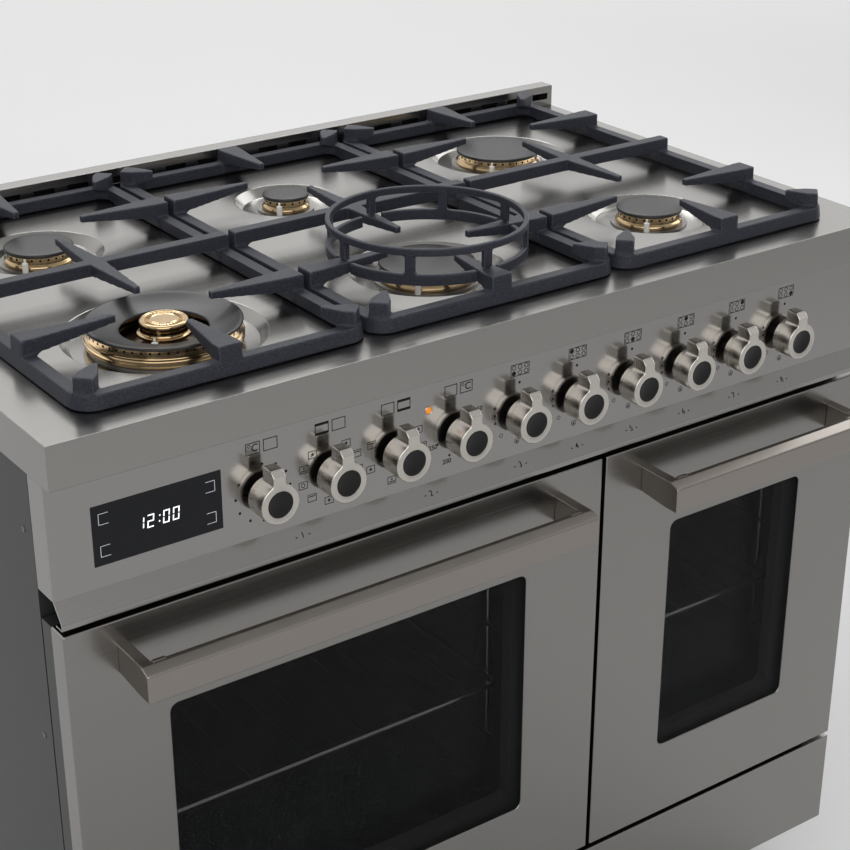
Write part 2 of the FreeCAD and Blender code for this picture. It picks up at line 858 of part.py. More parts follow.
def knob_outline(x, y):
    half = knob_tab_width / 2
    reach = knob_radius + knob_tab_fillet
    fillet_x = half + knob_tab_fillet
    fillet_z = math.sqrt(reach ** 2 - fillet_x ** 2)
    touch_x = fillet_x * knob_radius / reach
    touch_z = fillet_z * knob_radius / reach
    towards = math.atan2(touch_z - fillet_z, touch_x - fillet_x)
    middle = (towards - math.pi) / 2
    curve_x = fillet_x + knob_tab_fillet * math.cos(middle)
    curve_z = fillet_z + knob_tab_fillet * math.sin(middle)
    top = knob_radius + knob_tab_height

    def point(dx, dz):
        return V(x + dx, y, knob_z + dz)

    edges = [
        Part.Arc(point(touch_x, touch_z), point(curve_x, curve_z), point(half, fillet_z)).toShape(),
        Part.makeLine(point(half, fillet_z), point(half, top)),
        Part.makeLine(point(half, top), point(-half, top)),
        Part.makeLine(point(-half, top), point(-half, fillet_z)),
        Part.Arc(point(-half, fillet_z), point(-curve_x, curve_z), point(-touch_x, touch_z)).toShape(),
        Part.Arc(point(-touch_x, touch_z), point(0, -knob_radius), point(touch_x, touch_z)).toShape(),
    ]
    return Part.Face(Part.Wire(edges))


def knob(x):
    body = turned_y(x, knob_z, [(0, knob_back_y), (knob_radius, knob_back_y),
                                (knob_radius, knob_front_y + knob_edge),
                                (knob_radius - knob_edge, knob_front_y), (knob_disc_radius, knob_front_y),
                                (knob_disc_radius, knob_front_y + knob_disc_recess),
                                (0, knob_front_y + knob_disc_recess)])
    tab_front = knob_front_y + knob_edge
    tab = knob_outline(x, tab_front).extrude(V(0, knob_tab_depth, 0))
    socket = rod(V(x, knob_back_y - knob_socket_depth, knob_z), V(x, knob_back_y + overrun, knob_z),
                 spindle_radius + run_clearance)
    return joined([body, tab]).cut(socket)


# Doors and handles
def window_of(door):
    return (door[0] + window_side_margin, door[1] - window_side_margin,
            door_bottom_z + window_bottom_margin, door_top_z - window_top_margin)


def hinge_places(door):
    return (door[0] + hinge_inset, door[1] - hinge_inset)


def hinge_slots(door):
    half = hinge_plate / 2 + hinge_slot_gap
    swing = hinge_arm_half + hinge_slot_gap
    slots = []
    for x in hinge_places(door):
        slots.append(block(x - half, x + half, hinge_y - swing, door_back_y + overrun,
                           door_bottom_z - overrun, hinge_z + swing))
    return slots


def door_skin(door):
    x0, x1 = door
    back = door_y + door_skin_depth
    shell = block(x0, x1, door_y, back, door_bottom_z, door_top_z)
    hollow = block(x0 + sheet, x1 - sheet, door_y + sheet, back + overrun, door_bottom_z + sheet,
                   door_top_z - sheet)
    w0, w1, low, high = window_of(door)
    window = rounded_block_y(w0, w1, low, high, window_radius, door_y - overrun, back + overrun)
    return shell.cut([hollow, window] + hinge_slots(door))


def door_panes(door):
    w0, w1, low, high = window_of(door)
    front = door_y + sheet
    outer = block(w0 - pane_lap, w1 + pane_lap, front, front + pane, low - pane_lap, high + pane_lap)
    lap = inner_pane_lap
    inner = block(w0 - lap, w1 + lap, door_back_y - pane, door_back_y, low - lap, high + lap)
    return Part.makeCompound([outer, inner])


def door_inner_frame(door):
    x0, x1 = door
    inset = door_frame_inset
    front = door_y + door_skin_depth
    plate = block(x0, x1, front, door_back_y, door_bottom_z, door_top_z)
    w0, w1, low, high = window_of(door)
    lap = inner_pane_lap
    blocks = []
    bores = []
    for x in hinge_places(door):
        blocks.append(block(x - hinge_block_reach, x + hinge_block_reach, door_y + hinge_block_setback,
                            front, door_bottom_z + inset, door_bottom_z + hinge_block_height))
        bores.append(rod(V(x - hinge_block_reach - overrun, hinge_y, hinge_z),
                         V(x + hinge_block_reach + overrun, hinge_y, hinge_z),
                         hinge_pin_radius + run_clearance))
    window = rounded_block_y(w0, w1, low, high, window_radius, front - overrun, door_back_y + overrun)
    rebate = block(w0 - lap, w1 + lap, door_back_y - pane, door_back_y + overrun, low - lap, high + lap)
    return joined([plate] + blocks).cut([window, rebate] + hinge_slots(door) + bores)


def hinge_brackets():
    brackets = []
    half = hinge_plate / 2
    for door in (left_door, right_door):
        for x in hinge_places(door):
            arm = block(x - half, x + half, hinge_y, frame_y, hinge_z - hinge_arm_half,
                        hinge_z + hinge_arm_half)
            nose = rod(V(x - half, hinge_y, hinge_z), V(x + half, hinge_y, hinge_z), hinge_arm_half)
            reach = half + hinge_pin_reach
            pin = rod(V(x - reach, hinge_y, hinge_z), V(x + reach, hinge_y, hinge_z), hinge_pin_radius)
            brackets.append(joined([arm, nose, pin]))
    return Part.makeCompound(brackets)


def door_handle(door):
    x0 = door[0] + handle_end_inset
    x1 = door[1] - handle_end_inset
    top = door_top_z - handle_top_drop
    front = door_y - handle_reach
    inner = front + handle_bar_depth
    flat = inner - handle_top_flat
    bottom = top - handle_height
    chamfer_z = top - handle_chamfer_drop
    bar = prism_x([(inner, top), (flat, top), (front, chamfer_z), (front, bottom), (inner, bottom)], x0, x1)
    end_outline = [(door_y, top), (inner, top), (inner, bottom), (door_y, top - handle_end_height)]
    pieces = [bar]
    for end_x0 in (x0, x1 - handle_end_thickness):
        pieces.append(prism_x(end_outline, end_x0, end_x0 + handle_end_thickness))
    for tab_x0 in (x0 + handle_end_thickness, x1 - handle_end_thickness - handle_tab_length):
        pieces.append(block(tab_x0, tab_x0 + handle_tab_length, inner - handle_tab_width, inner, top,
                            top + handle_tab_rise))
    return joined(pieces)


# Storage drawer
def drawer_front():
    z0 = base_z
    back = door_y + drawer_front_depth
    shell = block(-half_width, half_width, door_y, back, z0, drawer_top_z)
    hollow = block(-half_width + sheet, half_width - sheet, door_y + sheet, back + overrun, z0 + sheet,
                   drawer_top_z - sheet)
    return shell.cut(hollow)


def drawer_box():
    back = door_y + drawer_front_depth
    plate = block(-half_width + sheet, half_width - sheet, back - sheet, back, base_z + sheet,
                  drawer_top_z - sheet)
    half = half_width - drawer_box_inset
    z0 = base_top_z + drawer_lift
    z1 = z0 + drawer_box_height
    y1 = back + drawer_box_length
    tray = block(-half, half, back, y1, z0, z1)
    hollow = block(-half + sheet, half - sheet, back + sheet, y1 - sheet, z0 + sheet, z1 + overrun)
    outer = half_width - sheet - drawer_stile - drawer_member_gap
    member_z = (z0 + z1) / 2
    members = []
    for x0, x1 in ((-outer, -half), (half, outer)):
        members.append(block(x0, x1, back, y1, member_z - drawer_member_height / 2,
                             member_z + drawer_member_height / 2))
    return joined([plate, tray.cut(hollow)] + members)


def drawer_runners():
    outer = half_width - sheet
    wall = outer - drawer_stile
    z_middle = base_top_z + drawer_lift + drawer_box_height / 2
    low = z_middle - drawer_member_height / 2 - drawer_member_gap
    high = z_middle + drawer_member_height / 2
    y1 = door_y + drawer_front_depth + drawer_box_length
    runners = []
    for side in (-1, 1):
        upright = block(min(side * outer, side * wall), max(side * outer, side * wall), frame_back_y, y1,
                        low - drawer_ledge, high)
        ledge_end = outer - drawer_ledge_reach
        ledge = block(min(side * outer, side * ledge_end), max(side * outer, side * ledge_end), frame_back_y,
                      y1, low - drawer_ledge, low)
        runners.append(joined([upright, ledge]))
    return Part.makeCompound(runners)


# Ovens
def fan_centre():
    return left_cavity_x, (cavity_bottom_z + cavity_top_z) / 2


def lamp_place(cavity_x, width):
    return cavity_x + width / 2 - lamp_side_inset, cavity_top_z - lamp_top_inset


def oven_liner(cavity_x, width, with_fan):
    x0 = cavity_x - width / 2
    x1 = cavity_x + width / 2
    shell = block(x0 - sheet, x1 + sheet, frame_back_y, cavity_back_y + sheet, cavity_bottom_z - sheet,
                  cavity_top_z + sheet)
    flange = block(x0 - liner_flange, x1 + liner_flange, frame_back_y, frame_back_y + sheet,
                   cavity_bottom_z - liner_flange, cavity_top_z + liner_flange)
    hollow = block(x0, x1, frame_back_y - overrun, cavity_back_y, cavity_bottom_z, cavity_top_z)
    lamp_x, lamp_z = lamp_place(cavity_x, width)
    cuts = [hollow, rod(V(lamp_x, cavity_back_y - overrun, lamp_z),
                        V(lamp_x, cavity_back_y + sheet + overrun, lamp_z), lamp_body_radius)]
    if with_fan:
        fan_x, fan_z = fan_centre()
        cuts.append(rod(V(fan_x, cavity_back_y - overrun, fan_z),
                        V(fan_x, cavity_back_y + sheet + overrun, fan_z), fan_shaft_hole))
    return joined([shell, flange]).cut(cuts)


def ovens():
    return ((left_cavity_x, left_cavity_width), (right_cavity_x, right_cavity_width))


def door_seals():
    seals = []
    thickness = door_back_gap - rest_gap
    for x, width in ovens():
        x0 = x - width / 2 - seal_offset
        x1 = x + width / 2 + seal_offset
        z0 = cavity_bottom_z - seal_offset
        z1 = cavity_top_z + seal_offset
        y0 = frame_y - thickness
        outer = rounded_block_y(x0 - seal_width, x1 + seal_width, z0 - seal_width, z1 + seal_width,
                                seal_width + seal_offset, y0, frame_y)
        inner = rounded_block_y(x0, x1, z0, z1, seal_offset, y0 - overrun, frame_y + overrun)
        seals.append(outer.cut(inner))
    return Part.makeCompound(seals)


def rack_levels():
    return [cavity_bottom_z + cavity_height * share for share in rack_level_shares]


def side_rack(wall_x, side):
    x = wall_x + side * rack_wall_gap
    post_x = wall_x + side * rack_post_off
    y0 = frame_back_y + rack_inset
    y1 = cavity_back_y - shelf_back_inset - rack_inset
    levels = rack_levels()
    reach = 2 * rack_wall_gap
    low = levels[0] - reach
    high = levels[-1] + reach
    wires = []
    for y in (y0, y1):
        wires.append(rod(V(post_x, y, low), V(post_x, y, high), rack_post))
        for z in (levels[0] - rack_wall_gap, levels[-1] + rack_wall_gap):
            wires.append(rod(V(wall_x, y, z), V(post_x, y, z), rack_peg))
    for z in levels:
        wires.append(rod(V(x, y0 - rack_inset / 2, z), V(x, y1 + rack_inset / 2, z), rack_wire))
    return joined(wires)


def shelf_racks():
    racks = []
    for x, width in ovens():
        racks.append(side_rack(x - width / 2, 1))
        racks.append(side_rack(x + width / 2, -1))
    return Part.makeCompound(racks)


def oven_shelf(cavity_x, width):
    z = rack_levels()[shelf_level] + rack_wire + shelf_wire + rest_gap
    side = width / 2 - shelf_side_off
    y0 = frame_back_y + shelf_front_inset
    y1 = cavity_back_y - shelf_back_inset
    wires = [bent_tube([V(cavity_x, y0, z), V(cavity_x - side, y0, z), V(cavity_x - side, y1, z),
                        V(cavity_x, y1, z)], shelf_bend, shelf_wire),
             bent_tube([V(cavity_x, y0, z), V(cavity_x + side, y0, z), V(cavity_x + side, y1, z),
                        V(cavity_x, y1, z)], shelf_bend, shelf_wire)]
    for i in range(shelf_rods):
        x = cavity_x - side + 2 * side * (i + 1) / (shelf_rods + 1)
        wires.append(rod(V(x, y0, z), V(x, y1, z), shelf_rod))
    return joined(wires)


def grill_element(cavity_x, width):
    z = cavity_top_z - element_drop
    half = width / 2 - element_side_inset
    third = half / 3
    y0 = frame_back_y + element_front_inset
    y1 = cavity_back_y - element_front_inset
    points = [V(cavity_x - half, cavity_back_y, z), V(cavity_x - half, y0, z), V(cavity_x - third, y0, z),
              V(cavity_x - third, y1, z), V(cavity_x + third, y1, z), V(cavity_x + third, y0, z),
              V(cavity_x + half, y0, z), V(cavity_x + half, cavity_back_y, z)]
    return bent_tube(points, min(element_bend, third * element_bend_share), element_radius)


def fan_element():
    x, z = fan_centre()
    y = cavity_back_y - fan_cover_stand / 2
    ring = Part.makeTorus(fan_ring_radius, element_radius, V(x, y, z), V(0, 1, 0))
    pieces = [ring]
    for side in (-1, 1):
        leg_x = x + side * fan_ring_radius
        pieces.append(rod(V(leg_x, y, z), V(leg_x, cavity_back_y, z), element_leg))
    return joined(pieces)


def oven_elements():
    return Part.makeCompound([grill_element(x, width) for x, width in ovens()] + [fan_element()])


def fan_cover():
    x, z = fan_centre()
    y1 = cavity_back_y - fan_cover_stand
    y0 = y1 - sheet
    half = fan_cover_width / 2
    half_height = cavity_top_z - lamp_top_inset - lamp_glass_radius - fan_cover_gap - z
    plate = block(x - half, x + half, y0, y1, z - half_height, z + half_height)
    slots = []
    for i in range(fan_slots):
        slot = block(x + fan_slot_inner, x + fan_slot_outer, y0 - overrun, y1 + overrun,
                     z - fan_slot_width / 2, z + fan_slot_width / 2)
        slots.append(slot.rotated(V(x, 0, z), V(0, 1, 0), 360 * i / fan_slots))
    posts = []
    for side in (-1, 1):
        for rise in (-1, 1):
            post_x = x + side * (half - 2 * fan_cover_post)
            post_z = z + rise * (half_height - 2 * fan_cover_post)
            posts.append(rod(V(post_x, y1 - sheet / 2, post_z), V(post_x, cavity_back_y, post_z),
                             fan_cover_post))
    return joined([plate.cut(slots)] + posts)


def fan_motor():
    x, z = fan_centre()
    y0 = cavity_back_y + sheet
    body = rod(V(x, y0, z), V(x, y0 + motor_length, z), motor_radius)
    shaft = rod(V(x, cavity_back_y - fan_back_gap - fan_depth, z), V(x, y0, z), fan_shaft_radius)
    return joined([body, shaft])


def fan_unit():
    return Part.makeCompound([fan_cover(), fan_motor()])


def oven_fan():
    x, z = fan_centre()
    y1 = cavity_back_y - fan_back_gap
    y0 = y1 - fan_depth
    pieces = [rod(V(x, y0, z), V(x, y1, z), fan_hub_radius),
              rod(V(x, y1 - fan_disc, z), V(x, y1, z), fan_radius)]
    for i in range(fan_blades):
        blade = block(x + fan_blade_root, x + fan_radius - fan_blade_thickness, y0, y1 - fan_disc / 2,
                      z, z + fan_blade_thickness)
        pieces.append(blade.rotated(V(x, 0, z), V(0, 1, 0), 360 * i / fan_blades))
    bore = rod(V(x, y0 - overrun, z), V(x, y1 + overrun, z), fan_shaft_radius + run_clearance)
    return joined(pieces).cut(bore)


def oven_lamps():
    lamps = []
    for cavity_x, width in ovens():
        x, z = lamp_place(cavity_x, width)
        front = cavity_back_y - lamp_glass_rise
        lamps.append(turned_y(x, z, [(0, front), (lamp_body_radius, front),
                                     (lamp_glass_radius, cavity_back_y - lamp_glass_rise / 2),
                                     (lamp_glass_radius, cavity_back_y), (lamp_body_radius, cavity_back_y),
                                     (lamp_body_radius, cavity_back_y + lamp_body_length),
                                     (0, cavity_back_y + lamp_body_length)]))
    return Part.makeCompound(lamps)


def main():
    os.makedirs("parts", exist_ok=True)
    save("side_panels", side_panels())
    save("back_panel", back_panel())
    save("base_pan", base_pan())
    save("front_frame", front_frame())
    save("levelling_feet", levelling_feet())
    save("rear_vent_trim", rear_vent_trim())
    save("terminal_box", terminal_box())
    save("hob_top", hob_top())
    save("burner_cups", burner_cups())
    save("burner_heads", burner_heads())
    save("burner_caps", burner_caps())
    save("igniters", igniters())
    for name, x in burner_columns.items():
        save("pan_support_" + name, pan_support(x))
    save("wok_ring", wok_ring())
    save("control_panel", control_panel())
    save("display_glass", display_glass())
    save("pilot_lamp", pilot_lamp())
    save("oven_controls", oven_controls())
    save("gas_valves", gas_valves())
    save("gas_rail", gas_rail())
    knob_names = ("left_heat", "left_mode", "right_mode", "right_heat", "front_left", "rear_left",
                  "front_centre", "rear_centre", "rear_right", "front_right")
    for i, x in enumerate(knob_places()):
        save("knob_" + knob_names[i], knob(x))
        if i >= oven_knob_count:
            save("spindle_" + knob_names[i], gas_spindle(x))
    for side, door in (("left", left_door), ("right", right_door)):
        save(side + "_door_skin", door_skin(door))
        save(side + "_door_panes", door_panes(door))
        save(side + "_door_inner_frame", door_inner_frame(door))
        save(side + "_door_handle", door_handle(door))
    save("hinge_brackets", hinge_brackets())
    save("drawer_front", drawer_front())
    save("drawer_box", drawer_box())
    save("drawer_runners", drawer_runners())
    save("left_oven_liner", oven_liner(left_cavity_x, left_cavity_width, True))
    save("right_oven_liner", oven_liner(right_cavity_x, right_cavity_width, False))
    save("door_seals", door_seals())
    save("shelf_racks", shelf_racks())
    save("left_oven_shelf", oven_shelf(left_cavity_x, left_cavity_width))
    save("right_oven_shelf", oven_shelf(right_cavity_x, right_cavity_width))
    save("oven_elements", oven_elements())
    save("fan_unit", fan_unit())
    save("oven_fan", oven_fan())
    save("oven_lamps", oven_lamps())


main()
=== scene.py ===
"""Looks of the range cooker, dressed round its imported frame. Lengths are metres."""
import json
import math

import bmesh
import bpy
from mathutils import Matrix, Vector


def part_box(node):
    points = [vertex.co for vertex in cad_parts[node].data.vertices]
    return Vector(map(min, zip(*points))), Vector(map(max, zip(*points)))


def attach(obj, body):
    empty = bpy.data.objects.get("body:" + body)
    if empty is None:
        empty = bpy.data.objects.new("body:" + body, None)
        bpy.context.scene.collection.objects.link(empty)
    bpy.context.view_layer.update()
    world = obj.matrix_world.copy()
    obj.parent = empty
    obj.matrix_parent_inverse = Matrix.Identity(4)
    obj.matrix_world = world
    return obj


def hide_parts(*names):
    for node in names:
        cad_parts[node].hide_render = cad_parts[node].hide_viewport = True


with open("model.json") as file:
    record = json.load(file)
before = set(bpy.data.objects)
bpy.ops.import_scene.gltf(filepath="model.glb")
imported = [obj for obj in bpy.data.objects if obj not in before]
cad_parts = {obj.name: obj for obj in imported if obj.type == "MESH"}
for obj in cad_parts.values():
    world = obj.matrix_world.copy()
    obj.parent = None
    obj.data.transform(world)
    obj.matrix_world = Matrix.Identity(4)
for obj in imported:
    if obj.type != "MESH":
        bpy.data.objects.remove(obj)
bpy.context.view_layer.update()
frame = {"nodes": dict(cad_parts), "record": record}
nodes = frame["nodes"]
scene = bpy.context.scene
MM = 0.001

knob_names = ("left_heat", "left_mode", "right_mode", "right_heat", "front_left", "rear_left",
              "front_centre", "rear_centre", "rear_right", "front_right")
support_names = ("left", "centre", "right")

# Sizes that several pieces share
knob_radius = 19.75 * MM
knob_gap = 6 * MM
tab_top_z = knob_radius + 13 * MM
tab_crease_z = tab_top_z - 5.5 * MM
burner_spacing = 274 * MM
sheet = 1.5 * MM

# Fineness of the meshes
casting_voxel = 1.0 * MM
bend_steps = 6
dot_sides = 14
quarter_turn = [math.radians(22.5 * step) for step in range(5)]

# Distances within which points count as one
weld = 0.00001
fine_weld = 0.000005
sliver = 0.000002

# Places read from the frame
first_knob_low, first_knob_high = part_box("knob_left_heat")
knob_z = first_knob_low.z + knob_radius
knob_front_y = first_knob_low.y
knob_back_y = first_knob_high.y
panel_y = knob_back_y + knob_gap
lip_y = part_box("hob_top")[0].y
hob_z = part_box("hob_top")[1].z
flare_top_z = hob_z - 153 * MM
flare_foot_z = hob_z - 170 * MM
knob_x = {name: sum(corner.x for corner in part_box("knob_" + name)) / 2 for name in knob_names}
support_x = {name: sum(corner.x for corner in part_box("pan_support_" + name)) / 2
             for name in support_names}
front_burner_y = sum(corner.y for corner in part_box("wok_ring")) / 2
rear_burner_y = front_burner_y + burner_spacing
cup_top_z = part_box("burner_cups")[1].z


class Wire:
    """A socket in a finish. Sums on it add Math nodes, and add() makes any other node."""

    def __init__(self, tree, socket=None):
        self.tree = tree
        self.socket = socket

    def add(self, kind, sockets=None, out=0, **settings):
        node = self.tree.nodes.new("ShaderNode" + kind)
        for key, value in settings.items():
            setattr(node, key, value)
        for key, value in (sockets or {}).items():
            if isinstance(value, Wire):
                self.tree.links.new(value.socket, node.inputs[key])
            else:
                node.inputs[key].default_value = value
        return Wire(self.tree, node.outputs[out] if node.outputs else None)

    def sum(self, operation, first, second):
        return self.add("Math", {0: first, 1: second}, operation=operation)

    def __add__(self, other):
        return self.sum("ADD", self, other)

    def __radd__(self, other):
        return self.sum("ADD", other, self)

    def __sub__(self, other):
        return self.sum("SUBTRACT", self, other)

    def __rsub__(self, other):
        return self.sum("SUBTRACT", other, self)

    def __mul__(self, other):
        return self.sum("MULTIPLY", self, other)

    def __rmul__(self, other):
        return self.sum("MULTIPLY", other, self)

    def coords(self, scale):
        place = self.add("TexCoord", out=3)
        return self.add("Mapping", {"Vector": place, "Scale": scale})

    def noise(self, scale, detail=2.0, roughness=0.5):
        """Soft noise. Its scale is one number for all directions, or one for each."""
        scale = scale if isinstance(scale, tuple) else (scale,) * 3
        return self.add("TexNoise", {"Vector": self.coords(scale), "Scale": 1.0, "Detail": detail,
                                     "Roughness": roughness})

    def blend(self, share, low, high):
        return self.add("Mix", {0: share, 6: low, 7: high}, out=2, data_type="RGBA")

    def spread(self, value, low, high, to_low, to_high):
        return self.add("MapRange", {0: value, 1: low, 2: high, 3: to_low, 4: to_high})

    def bump(self, height, strength, distance):
        return self.add("Bump", {"Height": height, "Strength": strength, "Distance": distance})


def new_finish(name):
    material = bpy.data.materials.new(name)
    material.use_nodes = True
    material.node_tree.nodes.clear()
    return material, Wire(material.node_tree)


def shaded(material, wire, sockets):
    shader = wire.add("BsdfPrincipled", sockets)
    wire.add("OutputMaterial", {"Surface": shader})
    return material


def tinted(colour, factor):
    return (*[min(1.0, value * factor) for value in colour], 1.0)


# Finishes
def brushed_metal(name, colour, roughness, grain=(2.5, 700, 700), streak=0.05, relief=0.05):
    material, wire = new_finish(name)
    fine = wire.noise(grain, 3.0, 0.6)
    cloud = wire.noise(5)
    tone = wire.blend(fine, tinted(colour, 1 - streak), tinted(colour, 1 + streak))
    gloss = roughness + (fine - 0.5) * 0.12 + (cloud - 0.5) * 0.06
    return shaded(material, wire, {"Base Color": tone, "Metallic": 1.0, "Roughness": gloss,
                                   "Normal": wire.bump(fine, relief, 0.0002)})


def cast_iron(name, colour):
    material, wire = new_finish(name)
    grain = wire.noise(750, 4.0, 0.65)
    cloud = wire.noise(40, 3.0)
    # Edges lighter by pointiness: a painted highlight along the edges, partly also worn enamel.
    edge = wire.spread(wire.add("NewGeometry", out="Pointiness"), 0.515, 0.6, 0.0, 1.0)
    # Grain speckle in the tone: the enamel's own fleck, with painted glints at its bright end.
    tone = wire.blend(wire.spread(grain, 0.36, 0.64, 0.0, 1.0), tinted(colour, 0.55), tinted(colour, 1.6))
    tone = wire.blend(edge, tone, tinted(colour, 3.4))
    gloss = 0.46 + (grain - 0.5) * 0.3 + (cloud - 0.5) * 0.1 - edge * 0.1
    return shaded(material, wire, {"Base Color": tone, "Roughness": gloss, "Specular IOR Level": 0.2,
                                   "Normal": wire.bump(grain, 0.7, 0.0005)})


def turned_brass(name, colour):
    material, wire = new_finish(name)
    rings = wire.noise((30, 30, 1200), 3.0)
    cloud = wire.noise(90, 3.0)
    tone = wire.blend(cloud, tinted(colour, 0.82), tinted(colour, 1.1))
    gloss = 0.18 + (rings - 0.5) * 0.1 + (cloud - 0.5) * 0.1
    return shaded(material, wire, {"Base Color": tone, "Metallic": 1.0, "Roughness": gloss,
                                   "Normal": wire.bump(rings, 0.025, 0.0002)})


def satin_enamel(name, colour, roughness=0.34, ripple=0.06):
    material, wire = new_finish(name)
    peel = wire.noise(260)
    cloud = wire.noise(18, 3.0)
    tone = wire.blend(cloud, tinted(colour, 0.85), tinted(colour, 1.18))
    gloss = roughness + (cloud - 0.5) * 0.12
    return shaded(material, wire, {"Base Color": tone, "Roughness": gloss,
                                   "Normal": wire.bump(peel, ripple, 0.0003)})


def speckled_enamel(name, colour):
    material, wire = new_finish(name)
    spots = wire.noise(420, 1.0)
    flecks = wire.spread(spots, 0.66, 0.70, 0.0, 1.0)
    peel = wire.noise(140)
    tone = wire.blend(flecks, tinted(colour, 1), (0.32, 0.33, 0.36, 1))
    gloss = 0.16 + (peel - 0.5) * 0.08
    return shaded(material, wire, {"Base Color": tone, "Roughness": gloss,
                                   "Normal": wire.bump(peel, 0.06, 0.0004)})


def zinc_sheet(name, colour):
    material, wire = new_finish(name)
    cells = wire.add("TexVoronoi", {"Vector": wire.coords((70, 70, 70)), "Scale": 1.0}, out=1, feature="F1")
    grey = wire.add("RGBToBW", {0: cells})
    cloud = wire.noise(9, 3.0)
    tone = wire.blend(grey, tinted(colour, 0.92), tinted(colour, 1.07))
    gloss = 0.42 + (grey - 0.5) * 0.18 + (cloud - 0.5) * 0.1
    return shaded(material, wire, {"Base Color": tone, "Metallic": 0.85, "Roughness": gloss})


def moulded(name, colour, roughness, grain=700, relief=0.12, shine=0.5):
    material, wire = new_finish(name)
    skin = wire.noise(grain)
    cloud = wire.noise(25)
    tone = wire.blend(cloud, tinted(colour, 0.9), tinted(colour, 1.12))
    gloss = roughness + (skin - 0.5) * 0.1
    return shaded(material, wire, {"Base Color": tone, "Roughness": gloss, "Specular IOR Level": shine,
                                   "Normal": wire.bump(skin, relief, 0.0002)})


def dark_glass(name, colour, alpha, shine):
    material, wire = new_finish(name)
    smear = wire.noise(14, 3.0)
    gloss = wire.spread(smear, 0.35, 0.75, 0.02, 0.07)
    tone = wire.blend(smear, tinted(colour, 0.92), tinted(colour, 1.08))
    return shaded(material, wire, {"Base Color": tone, "Roughness": gloss, "IOR": 1.5, "Alpha": alpha,
                                   "Specular IOR Level": shine})


def lit_glass(name, colour, strength):
    material, wire = new_finish(name)
    depth = wire.noise(500, 1.0)
    tone = wire.blend(depth, tinted(colour, 0.85), tinted(colour, 1.1))
    return shaded(material, wire, {"Base Color": tone, "Roughness": 0.18, "Emission Color": tone,
                                   "Emission Strength": strength})


finishes = {
    "steel": brushed_metal("brushed_steel", (0.34, 0.332, 0.317), 0.23),
    "handle_steel": brushed_metal("handle_steel", (0.32, 0.293, 0.267), 0.24, (4, 500, 500), 0.025, 0.02),
    "knob_nickel": brushed_metal("satin_nickel", (0.62, 0.585, 0.54), 0.25, (60, 900, 60), 0.05, 0.012),
    "spindle_steel": brushed_metal("spindle_steel", (0.5, 0.5, 0.5), 0.3),
    "iron": cast_iron("enamelled_iron", (0.029, 0.031, 0.041)),
    "brass": turned_brass("turned_brass", (0.55, 0.4, 0.228)),
    "black_enamel": moulded("black_burner_enamel", (0.021, 0.02, 0.02), 0.38, 260, 0.1, 0.35),
    # Burner cups: aluminium made dark, painted shade under the burner heads.
    "cup_aluminium": brushed_metal("cup_aluminium", (0.27, 0.262, 0.25), 0.42, (300, 300, 300)),
    "ceramic": satin_enamel("white_ceramic", (0.72, 0.70, 0.65), 0.22),
    "dark_glass": dark_glass("oven_window_glass", (0.003, 0.0034, 0.0037), 0.18, 0.3),
    "display": dark_glass("display_glass", (0.006, 0.0065, 0.009), 1.0, 0.25),
    "amber": lit_glass("amber_lens", (0.86, 0.27, 0.015), 0.3),
    "black_plastic": moulded("black_plastic", (0.02, 0.02, 0.02), 0.5),
    "dark_paint": moulded("dark_paint", (0.028, 0.028, 0.029), 0.42, 500, 0.1),
    "galvanised": zinc_sheet("zinc_sheet", (0.46, 0.47, 0.48)),
    "oven_enamel": speckled_enamel("oven_enamel", (0.018, 0.019, 0.024)),
    "seal_rubber": moulded("seal_rubber", (0.02, 0.02, 0.02), 0.7, 300),
    "wire_chrome": brushed_metal("shelf_chrome", (0.62, 0.62, 0.63), 0.16, (200, 200, 200), 0.03, 0.02),
    "element_steel": brushed_metal("element_steel", (0.22, 0.21, 0.21), 0.45, (300, 300, 300)),
    "lamp_glass": moulded("frosted_lamp_glass", (0.75, 0.73, 0.66), 0.3),
}
panel_steel = brushed_metal("panel_steel", (0.35, 0.342, 0.33), 0.16, (2.5, 700, 700), 0.03, 0.015)
flare_steel = brushed_metal("flare_steel", (0.35, 0.342, 0.33), 0.4)
# Doors and drawer front: the same brushed steel made darker, painted shade.
front_steel_painted_shade = brushed_metal("front_steel_painted_shade", (0.295, 0.287, 0.274), 0.24)
# Very dark brass for the tray inside the wok burner.
dark_tray_brass = turned_brass("dark_tray_brass", (0.13, 0.085, 0.045))
knob_black = moulded("knob_inset_black", (0.006, 0.0058, 0.0058), 0.3, 900, 0.04, 0.3)
# Burner ports: black dots that paint the shade inside the holes.
port_hole_shade = moulded("painted_port_shade", (0.004, 0.0035, 0.003), 0.8, 900, 0.05, 0.1)
print_ink = moulded("panel_ink", (0.004, 0.004, 0.004), 0.5, 900, 0.03, 0.25)
display_white = lit_glass("display_digits", (0.93, 0.97, 1.0), 0.95)
display_grey = lit_glass("display_marks", (0.55, 0.56, 0.58), 0.35)

for part in frame["record"]["subparts"]:
    shown = nodes[part["node"]].data
    shown.materials.clear()
    shown.materials.append(finishes[part["material_slot"]])


# Making pieces
def new_object(name, data):
    item = bpy.data.objects.new(name, data)
    scene.collection.objects.link(item)
    return item


def add_piece(name, mesh, body, materials, replaced=None):
    item = new_object(name, mesh)
    mesh.materials.clear()
    for material in materials:
        mesh.materials.append(material)
    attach(item, body)
    if replaced:
        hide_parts(*replaced)
    return item


def smoothed(mesh, angle=35):
    for polygon in mesh.polygons:
        polygon.use_smooth = True
    mesh.set_sharp_from_angle(angle=math.radians(angle))
    return mesh


def taken_mesh(work, name):
    """Finished mesh work as a mesh."""
    mesh = bpy.data.meshes.new(name)
    work.to_mesh(mesh)
    work.free()
    return mesh


def plain_mesh(item):
    """What an object shows, as a plain mesh. The object itself is taken away."""
    bpy.context.view_layer.update()
    shape = item.evaluated_get(bpy.context.evaluated_depsgraph_get())
    mesh = bpy.data.meshes.new_from_object(shape)
    bpy.data.objects.remove(item)
    return mesh


